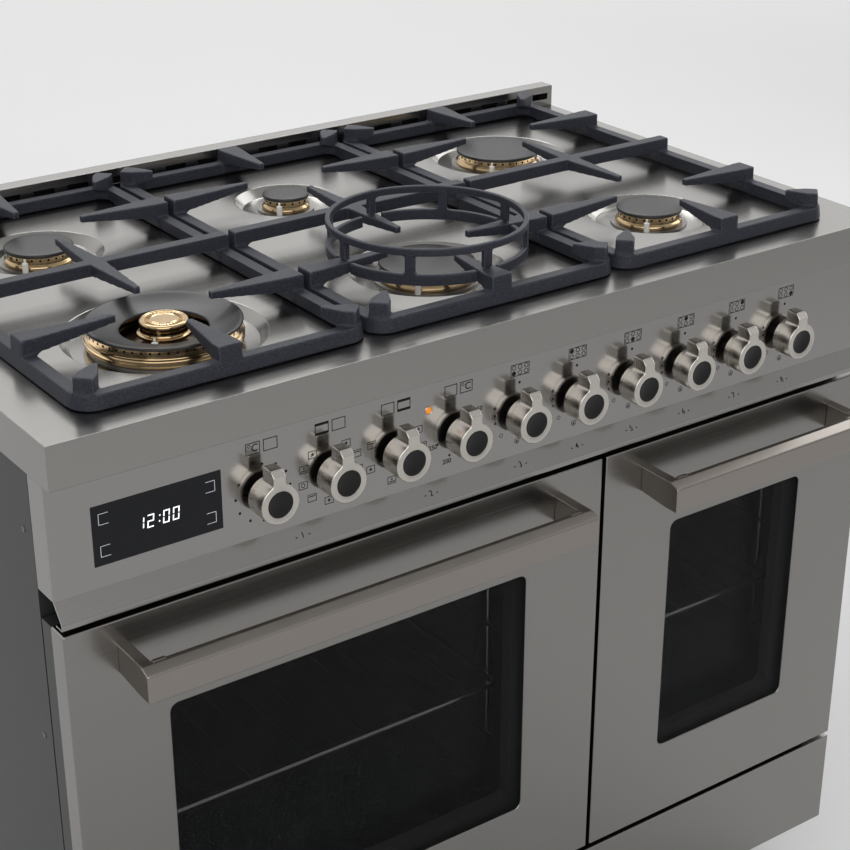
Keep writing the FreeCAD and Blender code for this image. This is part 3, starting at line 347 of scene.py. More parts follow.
def finished_mesh(name, mesh, modifiers):
    """Runs modifiers on a mesh and hands back the plain result."""
    item = new_object(name, mesh)
    for kind, settings in modifiers:
        modifier = item.modifiers.new(kind, kind)
        for key, value in settings.items():
            setattr(modifier, key, value)
    return plain_mesh(item)


def welded(node):
    """A node's mesh opened for work, with its doubled points joined."""
    work = bmesh.new()
    work.from_mesh(nodes[node].data)
    bmesh.ops.remove_doubles(work, verts=work.verts, dist=weld)
    return work


def eased(node, width):
    """A node's shape with its sharp edges rounded."""
    work = welded(node)
    bmesh.ops.dissolve_limit(work, angle_limit=math.radians(0.4), verts=work.verts, edges=work.edges)
    bevel = {"width": width, "segments": 2, "limit_method": "ANGLE", "angle_limit": math.radians(32),
             "use_clamp_overlap": False}
    return evened(node, finished_mesh(node, taken_mesh(work, node + "_merged"), [("BEVEL", bevel)]))


def casting(node, rounds, keep):
    """A node's shape with the soft edges that sand casting leaves."""
    steps = [("REMESH", {"mode": "VOXEL", "voxel_size": casting_voxel, "use_smooth_shade": True}),
             ("SMOOTH", {"factor": 0.5, "iterations": rounds}),
             ("DECIMATE", {"ratio": keep})]
    made = finished_mesh(node, taken_mesh(welded(node), node + "_rough"), steps)
    for polygon in made.polygons:
        polygon.use_smooth = True
    return made


def loops_mesh(name, loops, closed=True, end_material=0):
    """A skin over loops of points, each loop with the same number of points."""
    work = bmesh.new()
    rings = [[work.verts.new(point) for point in loop] for loop in loops]
    count = len(loops[0])
    for low, high in zip(rings, rings[1:]):
        for i in range(count):
            j = (i + 1) % count
            work.faces.new((low[i], low[j], high[j], high[i]))
    if closed:
        for end in (rings[0][::-1], rings[-1]):
            work.faces.new(end).material_index = end_material
    bmesh.ops.remove_doubles(work, verts=work.verts, dist=fine_weld)
    bmesh.ops.dissolve_degenerate(work, edges=work.edges, dist=sliver)
    bmesh.ops.recalc_face_normals(work, faces=work.faces)
    return taken_mesh(work, name)


def rounded_path(corners, radii):
    """Points along a flat path, with a bend in place of each corner that has a radius."""
    points = []
    for i, radius in enumerate(radii):
        here = Vector(corners[i])
        if radius == 0:
            points.append(tuple(here))
            continue
        back = (Vector(corners[i - 1]) - here).normalized()
        ahead = (Vector(corners[(i + 1) % len(corners)]) - here).normalized()
        reach = radius / math.tan(back.angle(ahead) / 2)
        for step in range(bend_steps + 1):
            share = step / bend_steps
            points.append(tuple(here + back * reach * (1 - share) ** 2 + ahead * reach * share ** 2))
    return points


def inset(points, distance):
    """An outline moved to its own left by a distance."""
    result = []
    count = len(points)
    for i in range(count):
        way = (Vector(points[(i + 1) % count]) - Vector(points[i - 1])).normalized()
        x, z = points[i]
        result.append((x - way.y * distance, z + way.x * distance))
    return result


def evened(name, mesh):
    """Flat faces that keep flat shading beside their rounded edges."""
    weighting = {"keep_sharp": True, "weight": 100}
    return finished_mesh(name, smoothed(mesh, 40), [("WEIGHTED_NORMAL", weighting)])


def extruded(name, outline, x0, x1, near_edge, far_edge):
    """An outline of depth and height run across from x0 to x1, with an edge rounding at each end."""
    loops = []
    for end_x, inward, edge in ((x0, 1, near_edge), (x1, -1, far_edge)):
        ring = []
        for angle in quarter_turn:
            points = inset(outline, edge * (1 - math.sin(angle)))
            x = end_x + inward * edge * (1 - math.cos(angle))
            ring.append([Vector((x, y, z)) for y, z in points])
        loops += ring if inward == 1 else ring[::-1]
    return loops_mesh(name, loops)


def plain_box(name, low, high):
    corners = [(low[1], low[2]), (high[1], low[2]), (high[1], high[2]), (low[1], high[2])]
    return loops_mesh(name, [[Vector((x, y, z)) for y, z in corners] for x in (low[0], high[0])])


def joined_mesh(name, meshes):
    work = bmesh.new()
    for mesh in meshes:
        work.from_mesh(mesh)
    return taken_mesh(work, name)


def moved_mesh(mesh, offset):
    copy = mesh.copy()
    copy.transform(Matrix.Translation(offset))
    return copy


# Trees that repeat a small shape
def repeat_tree(name, along_arc, shape_kind):
    """Copies of a bar or a round dot along an arc or a straight row."""
    tree = bpy.data.node_groups.new(name, "GeometryNodeTree")
    for label, kind in (("Count", "Int"), ("Radius", "Float"), ("Start", "Float"), ("Step", "Float"),
                        ("Tilt", "Float"), ("Size", "Vector"), ("Material", "Material")):
        tree.interface.new_socket(label, in_out="INPUT", socket_type="NodeSocket" + kind)
    tree.interface.new_socket("Geometry", in_out="OUTPUT", socket_type="NodeSocketGeometry")

    def put(kind, sockets, operation=None):
        node = tree.nodes.new(kind)
        if operation:
            node.operation = operation
        for key, source in sockets.items():
            tree.links.new(source, node.inputs[key])
        return node.outputs

    def reckon(operation, *sources):
        return put("ShaderNodeMath", dict(enumerate(sources)), operation)[0]

    given = put("NodeGroupInput", {})
    line = put("GeometryNodeMeshLine", {"Count": given["Count"]})
    index = put("GeometryNodeInputIndex", {})
    step = reckon("MULTIPLY_ADD", index[0], given["Step"], given["Start"])
    place = {0: step}
    turn = {}
    if along_arc:
        place = {axis: reckon("MULTIPLY", reckon(wave, step), given["Radius"])
                 for axis, wave in enumerate(("COSINE", "SINE"))}
        turn = {1: given["Tilt"], 2: step}
    if shape_kind == "bar":
        shape = put("GeometryNodeMeshCube", {"Size": given["Size"]})
    else:
        size = put("ShaderNodeSeparateXYZ", {0: given["Size"]})
        shape = put("GeometryNodeMeshCylinder", {"Radius": size[0], "Depth": size[2]})
        shape[0].node.inputs["Vertices"].default_value = dot_sides
    points = put("GeometryNodeSetPosition", {"Geometry": line[0],
                                             "Position": put("ShaderNodeCombineXYZ", place)[0]})
    copies = put("GeometryNodeInstanceOnPoints", {"Points": points[0], "Instance": shape["Mesh"],
                                                  "Rotation": put("ShaderNodeCombineXYZ", turn)[0]})
    real = put("GeometryNodeRealizeInstances", {0: copies[0]})
    painted = put("GeometryNodeSetMaterial", {"Geometry": real[0], "Material": given["Material"]})
    put("NodeGroupOutput", {0: painted[0]})
    return tree


dot_arc = repeat_tree("arc_of_dots", True, "dot")
bar_arc = repeat_tree("arc_of_bars", True, "bar")
dot_row = repeat_tree("row_of_heads", False, "dot")


def grown(tree, place, **values):
    """Runs a tree and hands back the plain mesh that it makes, moved to its place."""
    seed = new_object("seed", bpy.data.meshes.new("seed"))
    modifier = seed.modifiers.new("grow", "NODES")
    modifier.node_group = tree
    for item in tree.interface.items_tree:
        if item.in_out == "INPUT" and item.name in values:
            modifier[item.identifier] = values[item.name]
    mesh = plain_mesh(seed)
    mesh.transform(place)
    return mesh


# Knobs
def arc_points(x, z, radius, start, end, count):
    points = []
    for i in range(count):
        angle = math.radians(start + (end - start) * i / (count - 1))
        points.append((x + radius * math.cos(angle), z + radius * math.sin(angle)))
    return points


def knob_outline():
    """A knob seen from the front: a disc with a pointer that stands up from it."""
    half = 6.5 * MM
    fillet = 5 * MM
    corner = 1.3 * MM
    fillet_x = half + fillet
    fillet_z = math.sqrt((knob_radius + fillet) ** 2 - fillet_x ** 2)
    lean = math.degrees(math.atan2(fillet_z, fillet_x))
    right = arc_points(fillet_x, fillet_z, fillet, 180 + lean, 180, 9)
    right.append((half, tab_crease_z))
    right += arc_points(half - corner, tab_top_z - corner, corner, 0, 90, 6)
    left = [(-x, z) for x, z in reversed(right)]
    bottom = arc_points(0, 0, knob_radius, 180 - lean, 360 + lean, 90)[1:-1]
    return right + left + bottom


def knob_mesh():
    outline = knob_outline()
    depth = knob_back_y - knob_front_y
    tab_back = 19 * MM
    tip_slope = 0.9
    edge = 1.2 * MM
    soft = 0.4 * MM
    flange = 0.3 * MM
    disc = 12.9 * MM
    disc_depth = 2.6 * MM

    def loop(points, y):
        return [Vector((x, y, z)) for x, z in points]

    def circle(radius):
        turned = []
        for x, z in outline:
            angle = math.atan2(z, x)
            turned.append((radius * math.cos(angle), radius * math.sin(angle)))
        return turned

    loops = [loop(circle(knob_radius - edge), depth), loop(circle(knob_radius), depth - edge),
             loop(circle(knob_radius), tab_back + soft), loop(circle(knob_radius + flange), tab_back),
             loop(inset(outline, soft), tab_back), loop(outline, tab_back - soft)]
    leans = [max(0, z - tab_crease_z) * tip_slope for _, z in outline]
    for angle in quarter_turn:
        points = inset(outline, edge * (1 - math.cos(angle)))
        y = edge * (1 - math.sin(angle))
        loops.append([Vector((x, y + lean, z)) for (x, z), lean in zip(points, leans)])
    crease = [(x, min(z, tab_crease_z)) for x, z in inset(outline, edge + 0.15 * MM)]
    loops += [loop(crease, 0), loop(circle(disc + 0.6 * MM), 0), loop(circle(disc + 0.2 * MM), 0.2 * MM),
              loop(circle(disc), 0.6 * MM), loop(circle(disc), disc_depth)]
    mesh = loops_mesh("knob_shell", loops, end_material=1)
    return smoothed(mesh, 34)


def turned_mesh(name, profile, segments=72, axis="z", hole=False):
    """A shape turned round an axis from a profile of radius and height, in millimetres."""
    loops = []
    for radius, height in (profile + profile[:1] if hole else profile):
        loop = []
        for i in range(segments):
            angle = 2 * math.pi * i / segments
            across = radius * MM * math.cos(angle)
            away = radius * MM * math.sin(angle)
            high = height * MM
            loop.append(Vector((across, away, high)) if axis == "z" else Vector((across, high, away)))
        loops.append(loop)
    return loops_mesh(name, loops, not hole)


def build_knobs():
    shell = knob_mesh()
    inset_disc = smoothed(turned_mesh("knob_inset", [
        (0.5, 2.0), (3, 1.92), (6, 1.6), (9, 1.12), (11.2, 0.6), (11.9, 0.42), (12.4, 0.5), (12.7, 0.8),
        (12.7, 2.4), (0.5, 2.4)], 72, "y"), 50)
    for name in knob_names:
        place = Vector((knob_x[name], knob_front_y, knob_z))
        add_piece("knob_shell_" + name, moved_mesh(shell, place), "knob_" + name,
                  [finishes["knob_nickel"], knob_black], ["knob_" + name])
        add_piece("knob_inset_" + name, moved_mesh(inset_disc, place), "knob_" + name,
                  [knob_black])


# Burners
def burner_list():
    left, centre, right = (support_x[name] for name in support_names)
    return ((left, front_burner_y, "wok"), (left, rear_burner_y, 34), (centre, front_burner_y, 48),
            (centre, rear_burner_y, 24), (right, front_burner_y, 34), (right, rear_burner_y, 48))


def wok_ring_brass():
    profile = [(50, 0), (70, 0), (73.2, 0.8), (74.8, 2.2), (75.5, 4.2), (75.5, 8.6), (75.1, 9.5),
               (74, 10.1), (72.9, 10.5), (72.5, 11.2), (72.5, 19), (68.5, 19), (50, 14)]
    return turned_mesh("wok_ring_brass", profile, 144, hole=True)


def wok_ring_lid():
    profile = [(42, 11.9), (68.5, 19), (73.7, 19), (74.3, 19.4), (74.5, 20.1), (74.4, 20.9), (73.9, 21.6),
               (73.1, 21.95), (72, 22), (70.8, 21.7), (68, 20.7), (62, 18.6), (54, 16.2), (46, 14.5),
               (43.4, 14.2), (42.5, 13.8), (42.1, 13)]
    return turned_mesh("wok_ring_lid", profile, 144, hole=True)


def wok_centre_brass():
    profile = [(1, 0), (20, 0), (20, 6.6), (24.4, 7), (25.6, 7.7), (26, 8.9), (25.6, 10.2), (24.2, 11),
               (22.8, 11.3), (22.3, 12), (22.3, 16), (22.5, 16.5), (23, 16.8), (23.2, 17.6), (23.2, 20.6),
               (22.9, 21.6), (22.2, 22.3), (21.2, 22.7), (20.2, 22.6), (19.6, 22.1), (18.9, 21.9),
               (14, 22.2), (13.4, 22.5), (12.8, 22.9), (12, 22.9), (11.4, 22.5), (10.8, 22.4),
               (5, 22.7), (1, 22.8)]
    return turned_mesh("wok_centre_brass", profile, 96)


def wok_tray():
    profile = [(20.2, 0.3), (51, 0.3), (51, 5), (50, 5.4), (48.5, 4.6), (47.4, 2.4), (45, 1.3), (30, 1.0),
               (20.2, 1.2)]
    return turned_mesh("wok_tray", profile, 96, hole=True)


def burner_pot(radius):
    profile = [(1, 0), (radius + 2, 0), (radius + 2.8, 0.5), (radius + 3, 1.4), (radius + 2.9, 3),
               (radius + 2, 4.2), (radius + 0.6, 4.9), (radius, 5.6), (radius, 13), (1, 13)]
    return turned_mesh("burner_pot", profile, 96)


def burner_lid(radius):
    rim = radius + 2
    profile = [(1, 13), (rim - 0.6, 13), (rim - 0.1, 13.3), (rim, 14), (rim, 15), (rim - 0.4, 16),
               (rim - 1.4, 16.6), (rim - 3, 16.8), (rim * 0.6, 17.4), (rim * 0.3, 17.9), (1, 18)]
    return turned_mesh("burner_lid", profile, 96)


# A ring of flat black dots, painted shade of the burner's port holes.
def port_row(place, radius, height, count, size):
    spot = Matrix.Translation(place + Vector((0, 0, height * MM)))
    return grown(dot_arc, spot, Count=count, Radius=radius * MM, Start=0.05, Step=2 * math.pi / count,
                 Tilt=math.pi / 2, Size=(size * MM, size * MM, 0.3 * MM), Material=port_hole_shade)


def build_burners():
    brass = []
    black = []
    ports = []
    tray = []
    tick_count = 30
    tick_height = 22.1 * MM
    port_spacing = 8.4
    for x, y, kind in burner_list():
        place = Vector((x, y, cup_top_z))
        if kind == "wok":
            brass += [moved_mesh(wok_ring_brass(), place), moved_mesh(wok_centre_brass(), place)]
            brass.append(grown(bar_arc, Matrix.Translation(place + Vector((0, 0, tick_height))),
                               Count=tick_count, Radius=16.2 * MM, Start=0.0,
                               Step=2 * math.pi / tick_count, Size=(3.4 * MM, 0.8 * MM, 1.0 * MM),
                               Material=finishes["brass"]))
            black.append(moved_mesh(wok_ring_lid(), place))
            tray.append(moved_mesh(wok_tray(), place))
            ports.append(port_row(place, 72.5, 16.4, 55, 1.25))
            ports.append(port_row(place, 22.3, 14, 18, 1.0))
        else:
            brass.append(moved_mesh(burner_pot(kind), place))
            black.append(moved_mesh(burner_lid(kind), place))
            ports.append(port_row(place, kind, 10.2, int(2 * math.pi * kind / port_spacing), 1.25))
    add_piece("burner_brass", smoothed(joined_mesh("burner_brass", brass), 40), "carcass",
              [finishes["brass"]], ["burner_heads"])
    add_piece("burner_lids", smoothed(joined_mesh("burner_lids", black), 40), "carcass",
              [finishes["black_enamel"]], ["burner_caps"])
    add_piece("burner_ports", joined_mesh("burner_ports", ports), "carcass", [port_hole_shade])
    add_piece("wok_tray", smoothed(tray[0], 40), "carcass", [dark_tray_brass])


# Pan supports
def build_supports():
    casting_mesh = casting("pan_support_left", 9, 0.4)
    for name in support_names:
        offset = Vector((support_x[name] - support_x["left"], 0, 0))
        node = "pan_support_" + name
        add_piece("support_casting_" + name, moved_mesh(casting_mesh, offset), node,
                  [finishes["iron"]], [node])
    ring = casting("wok_ring", 6, 0.5)
    add_piece("wok_ring_casting", ring, "wok_ring", [finishes["iron"]], ["wok_ring"])


# Sheet metal with eased edges
def handle_mesh(node):
    """A bar with a sloping top front. Each end has a plate, an arm and a small cap on top."""
    low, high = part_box(node)
    rise = 1.2 * MM
    top = high.z - rise
    bar_depth = 17 * MM
    plate_height = 28 * MM
    inner = low.y + bar_depth
    front = [(inner - 5.5 * MM, top), (low.y, top - 4.5 * MM), (low.y, low.z), (inner, low.z)]
    soft = 1.5 * MM
    seam = 0.15 * MM
    bends = [soft * 2, soft * 2, soft, soft]
    bar = rounded_path([(inner, top)] + front, [soft] + bends)
    plate = rounded_path([(high.y, top)] + front + [(high.y, top - plate_height)], [0] + bends + [0])
    reach = inner - 3 * MM
    arm = inset([(high.y, top), (reach, top), (reach, low.z + 2 * MM), (high.y, top - plate_height)],
                seam)
    lid = [(inner, high.z), (inner - 4 * MM, high.z), (inner - 4 * MM, top - rise), (inner, top - rise)]
    lid = rounded_path(lid, [0.5 * MM, 0.5 * MM, 0, 0])
    thin = 3 * MM
    thick = 12.5 * MM
    meshes = [extruded("bar", bar, low.x + thin - seam, high.x - thin + seam, seam, seam),
              extruded("plate", plate, low.x, low.x + thin, soft, seam),
              extruded("plate", plate, high.x - thin, high.x, seam, soft),
              extruded("arm", arm, low.x + thin - seam, low.x + thick, seam, soft),
              extruded("arm", arm, high.x - thick, high.x - thin + seam, soft, seam)]
    length = 13 * MM
    for x0 in (low.x + thick, high.x - thick - length):
        meshes.append(extruded("lid", lid, x0, x0 + length, rise / 2, rise / 2))
    return evened(node, joined_mesh(node, meshes))


def rounded_frame(x0, x1, z0, z1, radius, y, low_y=None):
    """A loop round a rectangle with rounded corners, where the bottom side may have its own depth."""
    loop = []
    for x, z, start in ((x1, z1, 0), (x0, z1, 90), (x0, z0, 180), (x1, z0, 270)):
        centre_x = x - radius if x == x1 else x + radius
        centre_z = z - radius if z == z1 else z + radius
        for px, pz in arc_points(centre_x, centre_z, radius, start, start + 90, 9):
            at_foot = low_y is not None and pz < z0 + radius * 0.9
            loop.append(Vector((px, low_y if at_foot else y, pz)))
    return loop


def door_tray(node):
    """A door's outer sheet: a shallow tray with rounded edges, a window and hinge slots in its foot."""
    low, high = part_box(node)
    edge = 1.3 * MM
    corner = 2 * MM
    foot_y = low.y + 2.2 * MM
    side_margin = 97 * MM
    foot_margin = 95 * MM
    top_margin = 105 * MM
    window_corner = 9 * MM
    hinge_place = 40 * MM
    slot_half = 3.5 * MM

    def outer(step, y, low_y=None):
        return rounded_frame(low.x + step, high.x - step, low.z + step, high.z - step, corner - step, y,
                             low_y)

    def window(step, y):
        side = side_margin - step
        return rounded_frame(low.x + side, high.x - side, low.z + foot_margin - step,
                             high.z - top_margin + step, window_corner + step, y)

    loops = [outer(0, high.y, foot_y)]
    for angle in quarter_turn:
        loops.append(outer(edge * (1 - math.cos(angle)), low.y + edge * (1 - math.sin(angle))))
    for angle in quarter_turn:
        loops.append(window(edge * (1 - math.sin(angle)), low.y + edge * (1 - math.cos(angle))))
    loops += [window(0, low.y + sheet), outer(sheet, low.y + sheet), outer(sheet, high.y, foot_y)]
    meshes = [loops_mesh(node, loops + loops[:1], False)]
    slots = (low.x + hinge_place, high.x - hinge_place)
    for x0, x1 in ((low.x + sheet, slots[0] - slot_half), (slots[0] + slot_half, slots[1] - slot_half),
                   (slots[1] + slot_half, high.x - sheet)):
        meshes.append(plain_box("foot", (x0, low.y + sheet, low.z + 0.1 * MM),
                                (x1, high.y, low.z + sheet)))
    return evened(node, joined_mesh(node, meshes))


def panel_sheet():
    """The control panel as one folded sheet, with soft bends into its sloping foot."""
    low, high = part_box("control_panel")
    skirt_z = hob_z - 42.5 * MM
    fold_y = lip_y + 12 * MM
    bend_shift = 1 * MM
    sloping = 0.05
    corners = [(panel_y, skirt_z), (panel_y, flare_top_z), (lip_y, flare_foot_z), (lip_y, low.z),
               (fold_y, low.z)]
    front = rounded_path(corners, [0, 0.6 * MM, 2.2 * MM, 1.2 * MM, 0])
    back = [(fold_y, low.z + sheet), (lip_y + sheet, low.z + sheet),
            (lip_y + sheet, flare_foot_z + bend_shift), (panel_y + sheet, flare_top_z + bend_shift),
            (panel_y + sheet, skirt_z)]
    meshes = [extruded("sheet", front + back, low.x, high.x, 0.3 * MM, 0.3 * MM)]
    side = 2 * MM
    hidden = 0.2 * MM
    meshes.append(plain_box("top", (low.x + side, panel_y + hidden, skirt_z - side),
                            (high.x - side, panel_y + sheet, high.z)))
    for x0 in (low.x + hidden, high.x - sheet):
        meshes.append(plain_box("end", (x0, panel_y + sheet / 2, flare_top_z),
                                (x0 + sheet - hidden, high.y, skirt_z)))
    mesh = evened("control_panel", joined_mesh("control_panel", meshes))
    for polygon in mesh.polygons:
        if polygon.normal.z > sloping:
            polygon.material_index = 1
    return mesh


def build_sheet_metal():
    for side in ("left", "right"):
        body = side + "_door"
        handle = body + "_handle"
        skin = body + "_skin"
        add_piece(handle + "_eased", handle_mesh(handle), body,
                  [finishes["handle_steel"]], [handle])
        add_piece(skin + "_eased", door_tray(skin), body, [front_steel_painted_shade], [skin])
    eased_nodes = (("drawer_front", "drawer", front_steel_painted_shade, 1.0),
                   ("rear_vent_trim", "carcass", finishes["steel"], 0.8),
                   ("hob_top", "carcass", finishes["steel"], 0.6))
    for node, body, finish, width in eased_nodes:
        add_piece(node + "_eased", eased(node, width * MM), body, [finish], [node])
    add_piece("control_panel_sheet", panel_sheet(), "carcass", [panel_steel, flare_steel],
              ["control_panel"])


# Printed marks
class Print:
    """Flat marks drawn in a plane, across and up, in millimetres."""

    def __init__(self, thickness=0.06):
        self.outlines = []
        self.thickness = thickness

    def polygon(self, points):
        self.outlines.append(points)

    def bar(self, x0, z0, x1, z1):
        self.polygon([(x0, z0), (x1, z0), (x1, z1), (x0, z1)])

    def box(self, x0, z0, x1, z1, line):
        self.bar(x0, z0, x1, z0 + line)
        self.bar(x0, z1 - line, x1, z1)
        self.bar(x0, z0 + line, x0 + line, z1 - line)
        self.bar(x1 - line, z0 + line, x1, z1 - line)

    def round(self, x, z, radius):
        return [(x + radius * math.cos(math.pi * i / 8), z + radius * math.sin(math.pi * i / 8))
                for i in range(16)]

    def disc(self, x, z, radius):
        self.polygon(self.round(x, z, radius))

    def ring(self, x, z, radius, line):
        near = self.round(x, z, radius - line)
        far = self.round(x, z, radius)
        for i in range(16):
            self.polygon([near[i - 1], far[i - 1], far[i], near[i]])

    def star(self, x, z, radius):
        points = []
        for i in range(10):
            reach = radius if i % 2 == 0 else radius * 0.42
            angle = math.pi / 2 + math.pi * i / 5
            points.append((x + reach * math.cos(angle), z + reach * math.sin(angle)))
        for i in range(10):
            self.polygon([(x, z), points[i], points[(i + 1) % 10]])

    def mesh(self, place):
        """The marks as thin plates, with place(x, z, lift) giving each point in metres."""
        work = bmesh.new()
        for points in self.outlines:
            low = [work.verts.new(place(x, z, 0)) for x, z in points]
            high = [work.verts.new(place(x, z, self.thickness)) for x, z in points]
            work.faces.new(high)
            work.faces.new(low[::-1])
            for i in range(len(points)):
                j = (i + 1) % len(points)
                work.faces.new((low[i], low[j], high[j], high[i]))
        bmesh.ops.recalc_face_normals(work, faces=work.faces)
        return taken_mesh(work, "marks")


def on_panel(x, z, lift):
    return Vector((x * MM, panel_y - lift * MM, knob_z + z * MM))


def numeral(text, size, place):
    """Plain figures as a thin mesh."""
    curve = bpy.data.curves.new("figures", "FONT")
    curve.body = text
    curve.size = size * MM
    curve.offset = 0.12 * MM
    curve.align_x = "CENTER"
    curve.align_y = "CENTER"
    curve.extrude = 0.03 * MM
    curve.resolution_u = 3
    mesh = plain_mesh(new_object("figures", curve))
    mesh.transform(place)
    return mesh


upright = Matrix.Rotation(math.radians(90), 4, "X")
print_lift = 0.03


def panel_spot(x, z):
    return Matrix.Translation(on_panel(x, z, print_lift)) @ upright


def box_pair(ink, figures, x, kinds):
    """Two boxes above an oven knob, each plain, with two bars or with a degree sign."""
    for kind, x0 in zip(kinds, (x - 16.3, x + 2.0)):
        ink.box(x0, 40.2, x0 + 15.0, 52.2, 0.85)
        if kind == "bars":
            ink.bar(x0 + 0.5, 49.6, x0 + 14.5, 51.8)
            ink.bar(x0 + 0.5, 40.6, x0 + 14.5, 42.8)
        elif kind == "degrees":
            ink.ring(x0 + 3.6, 49.0, 1.7, 0.65)
            figures.append(numeral("C", 10.5, panel_spot(x0 + 9.4, 46.2)))


def burner_icon(ink, x, column, row):
    ink.box(x - 9.5, 41.2, x + 13.6, 54.0, 0.75)
    for i in range(3):
        for j in range(2):
            spot = (x - 5.6 + 7.65 * i, 44.6 + 6.0 * j)
            if (i, j) == (column, row):
                ink.disc(*spot, 2.6)
            else:
                ink.ring(*spot, 2.6, 0.7)
    ink.disc(x + 1.7, 34, 1.5)


def flame(ink, x, z, size):
    ink.polygon([(x - size, z), (x - size * 0.5, z - size * 0.8), (x + size * 0.5, z - size * 0.8),
                 (x + size, z), (x + size * 0.55, z + size * 0.7), (x, z + size * 1.6),
                 (x - size * 0.55, z + size * 0.7)])


def build_panel_print():
    ink = Print()
    figures = []
    place = {name: knob_x[name] / MM for name in knob_names}
    pairs = {"left_heat": ("degrees", "plain"), "left_mode": ("bars", "plain"),
             "right_mode": ("plain", "bars"), "right_heat": ("plain", "degrees")}
    for name, kinds in pairs.items():
        box_pair(ink, figures, place[name], kinds)
    spots = {"left_mode": (56, 21, -12, -45, 265, 227, 192, 160, 129),
             "right_mode": (33, -5, -43, 261, 202, 151)}
    for name, angles in spots.items():
        for i, angle in enumerate(angles):
            x = place[name] + 31 * math.cos(math.radians(angle))
            z = 29 * math.sin(math.radians(angle))
            ink.box(x - 4.9, z - 3.9, x + 4.9, z + 3.9, 0.7)
            if i % 4 == 0:
                ink.star(x, z, 2.4)
            elif i % 4 == 1:
                ink.bar(x - 3.4, z + 1.1, x + 3.4, z + 2.1)
            elif i % 4 == 2:
                ink.ring(x, z, 2.3, 0.7)
            else:
                ink.bar(x - 3.4, z - 2.1, x + 3.4, z - 1.1)
                ink.star(x, z + 0.9, 1.6)
    for i, text in enumerate(("50", "100", "150", "200", "250")):
        angle = math.radians(38 - 50.5 * i)
        x = place["right_heat"]
        reach = 33 if i < 4 else 31
        figures.append(numeral(text, 7, panel_spot(x + reach * math.cos(angle), 30 * math.sin(angle))))
        ink.disc(x + 25.5 * math.cos(angle), 23.5 * math.sin(angle), 1.3)
    icons = {"front_left": (0, 0), "rear_left": (0, 1), "front_centre": (1, 0), "rear_centre": (1, 1),
             "rear_right": (2, 1), "front_right": (2, 0)}
    for name, (column, row) in icons.items():
        x = place[name]
        burner_icon(ink, x, column, row)
        ink.star(x - 28.3, 13.2, 2.4)
        flame(ink, x - 28.2, 4.6, 1.8)
        ink.ring(x - 28.0, 5.2, 3.8, 0.7)
        flame(ink, x - 27.6, -3.4, 1.3)
        ink.ring(x - 20.0, -18, 2.2, 0.65)
        flame(ink, x, -29.6, 1.3)
        ink.ring(x, -29, 3.1, 0.7)
    dots = grown(dot_arc, panel_spot(place["left_heat"], 0), Count=11, Radius=28.6 * MM,
                 Start=math.radians(90), Step=math.radians(-30),
                 Size=(1.4 * MM, 1.4 * MM, 0.06 * MM), Material=print_ink)
    marks = joined_mesh("panel_marks", [ink.mesh(on_panel), dots] + figures)
    add_piece("panel_marks", marks, "carcass", [print_ink])


def build_flare_marks():
    """Plain figures on the sloping foot of the panel, one for each knob or pair of knobs."""
    top = Vector((0, panel_y, flare_top_z))
    foot = Vector((0, lip_y, flare_foot_z))
    size = 8
    slope = math.degrees(math.atan2(top.z - foot.z, top.y - foot.y))
    middle = (top + foot) / 2
    out = Vector((0, -(top.z - foot.z), top.y - foot.y)).normalized()
    spots = [((knob_x["left_heat"] + knob_x["left_mode"]) / 2, "1"),
             ((knob_x["right_mode"] + knob_x["right_heat"]) / 2, "2")]
    for i, name in enumerate(knob_names[4:]):
        spots.append((knob_x[name], str(i + 3)))
    figures = []
    for x, text in spots:
        centre = Vector((x, 0, 0)) + middle + out * print_lift * MM
        turn = Matrix.Translation(centre) @ Matrix.Rotation(math.radians(slope), 4, "X")
        figures.append(numeral(text, size, turn))
        for side in (-1, 1):
            figures.append(numeral("-", size, Matrix.Translation((side * 7 * MM, 0, 0)) @ turn))
    add_piece("flare_marks", joined_mesh("flare_marks", figures), "carcass", [print_ink])


# Clock
segment_table = {"1": "bc", "2": "abged", "0": "abcdef"}


def digit(ink, x, z, text):
    width = 6.4
    height = 12.6
    line = 1.15
    lean = 0.09
    half = height / 2
    bars = {"a": (0, height - line, width, height), "d": (0, 0, width, line),
            "g": (0, half - line / 2, width, half + line / 2),
            "f": (0, half + line * 0.6, line, height - line * 1.1),
            "b": (width - line, half + line * 0.6, width, height - line * 1.1),
            "e": (0, line * 1.1, line, half - line * 0.6),
            "c": (width - line, line * 1.1, width, half - line * 0.6)}
    for name in segment_table[text]:
        x0, z0, x1, z1 = bars[name]
        corners = [(x0, z0), (x1, z0), (x1, z1), (x0, z1)]
        ink.polygon([(x + a + b * lean, z + b) for a, b in corners])


def build_clock():
    low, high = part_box("display_glass")
    centre_x = (low.x + high.x) / 2 / MM
    centre_z = ((low.z + high.z) / 2 - knob_z) / MM
    face_y = low.y

    def on_glass(x, z, lift):
        return Vector((x * MM, face_y - lift * MM, knob_z + z * MM))

    ink = Print(0.05)
    x = centre_x - 21
    for text, step in (("1", 9.6), ("2", 10.6), (":", 4.8), ("0", 9.6), ("0", 9.6)):
        if text == ":":
            ink.disc(x + 1.6, centre_z - 2.8, 0.75)
            ink.disc(x + 2.2, centre_z + 2.8, 0.75)
        else:
            digit(ink, x, centre_z - 6.3, text)
        x += step
    add_piece("clock_digits", ink.mesh(on_glass), "carcass", [display_white])
    marks = Print(0.05)
    line = 0.45
    half = 5.4
    for side in (-1, 1):
        for rise in (-1, 1):
            edge = centre_x + side * 57.0
            inner = edge - side * 9.5
            middle = centre_z + rise * 15.5
            stem = edge - side * line
            marks.bar(min(edge, stem), middle - half, max(edge, stem), middle + half)
            for tip in (middle - half, middle + half - line):
                marks.bar(min(edge, inner), tip, max(edge, inner), tip + line)
    add_piece("clock_marks", marks.mesh(on_glass), "carcass", [display_grey])


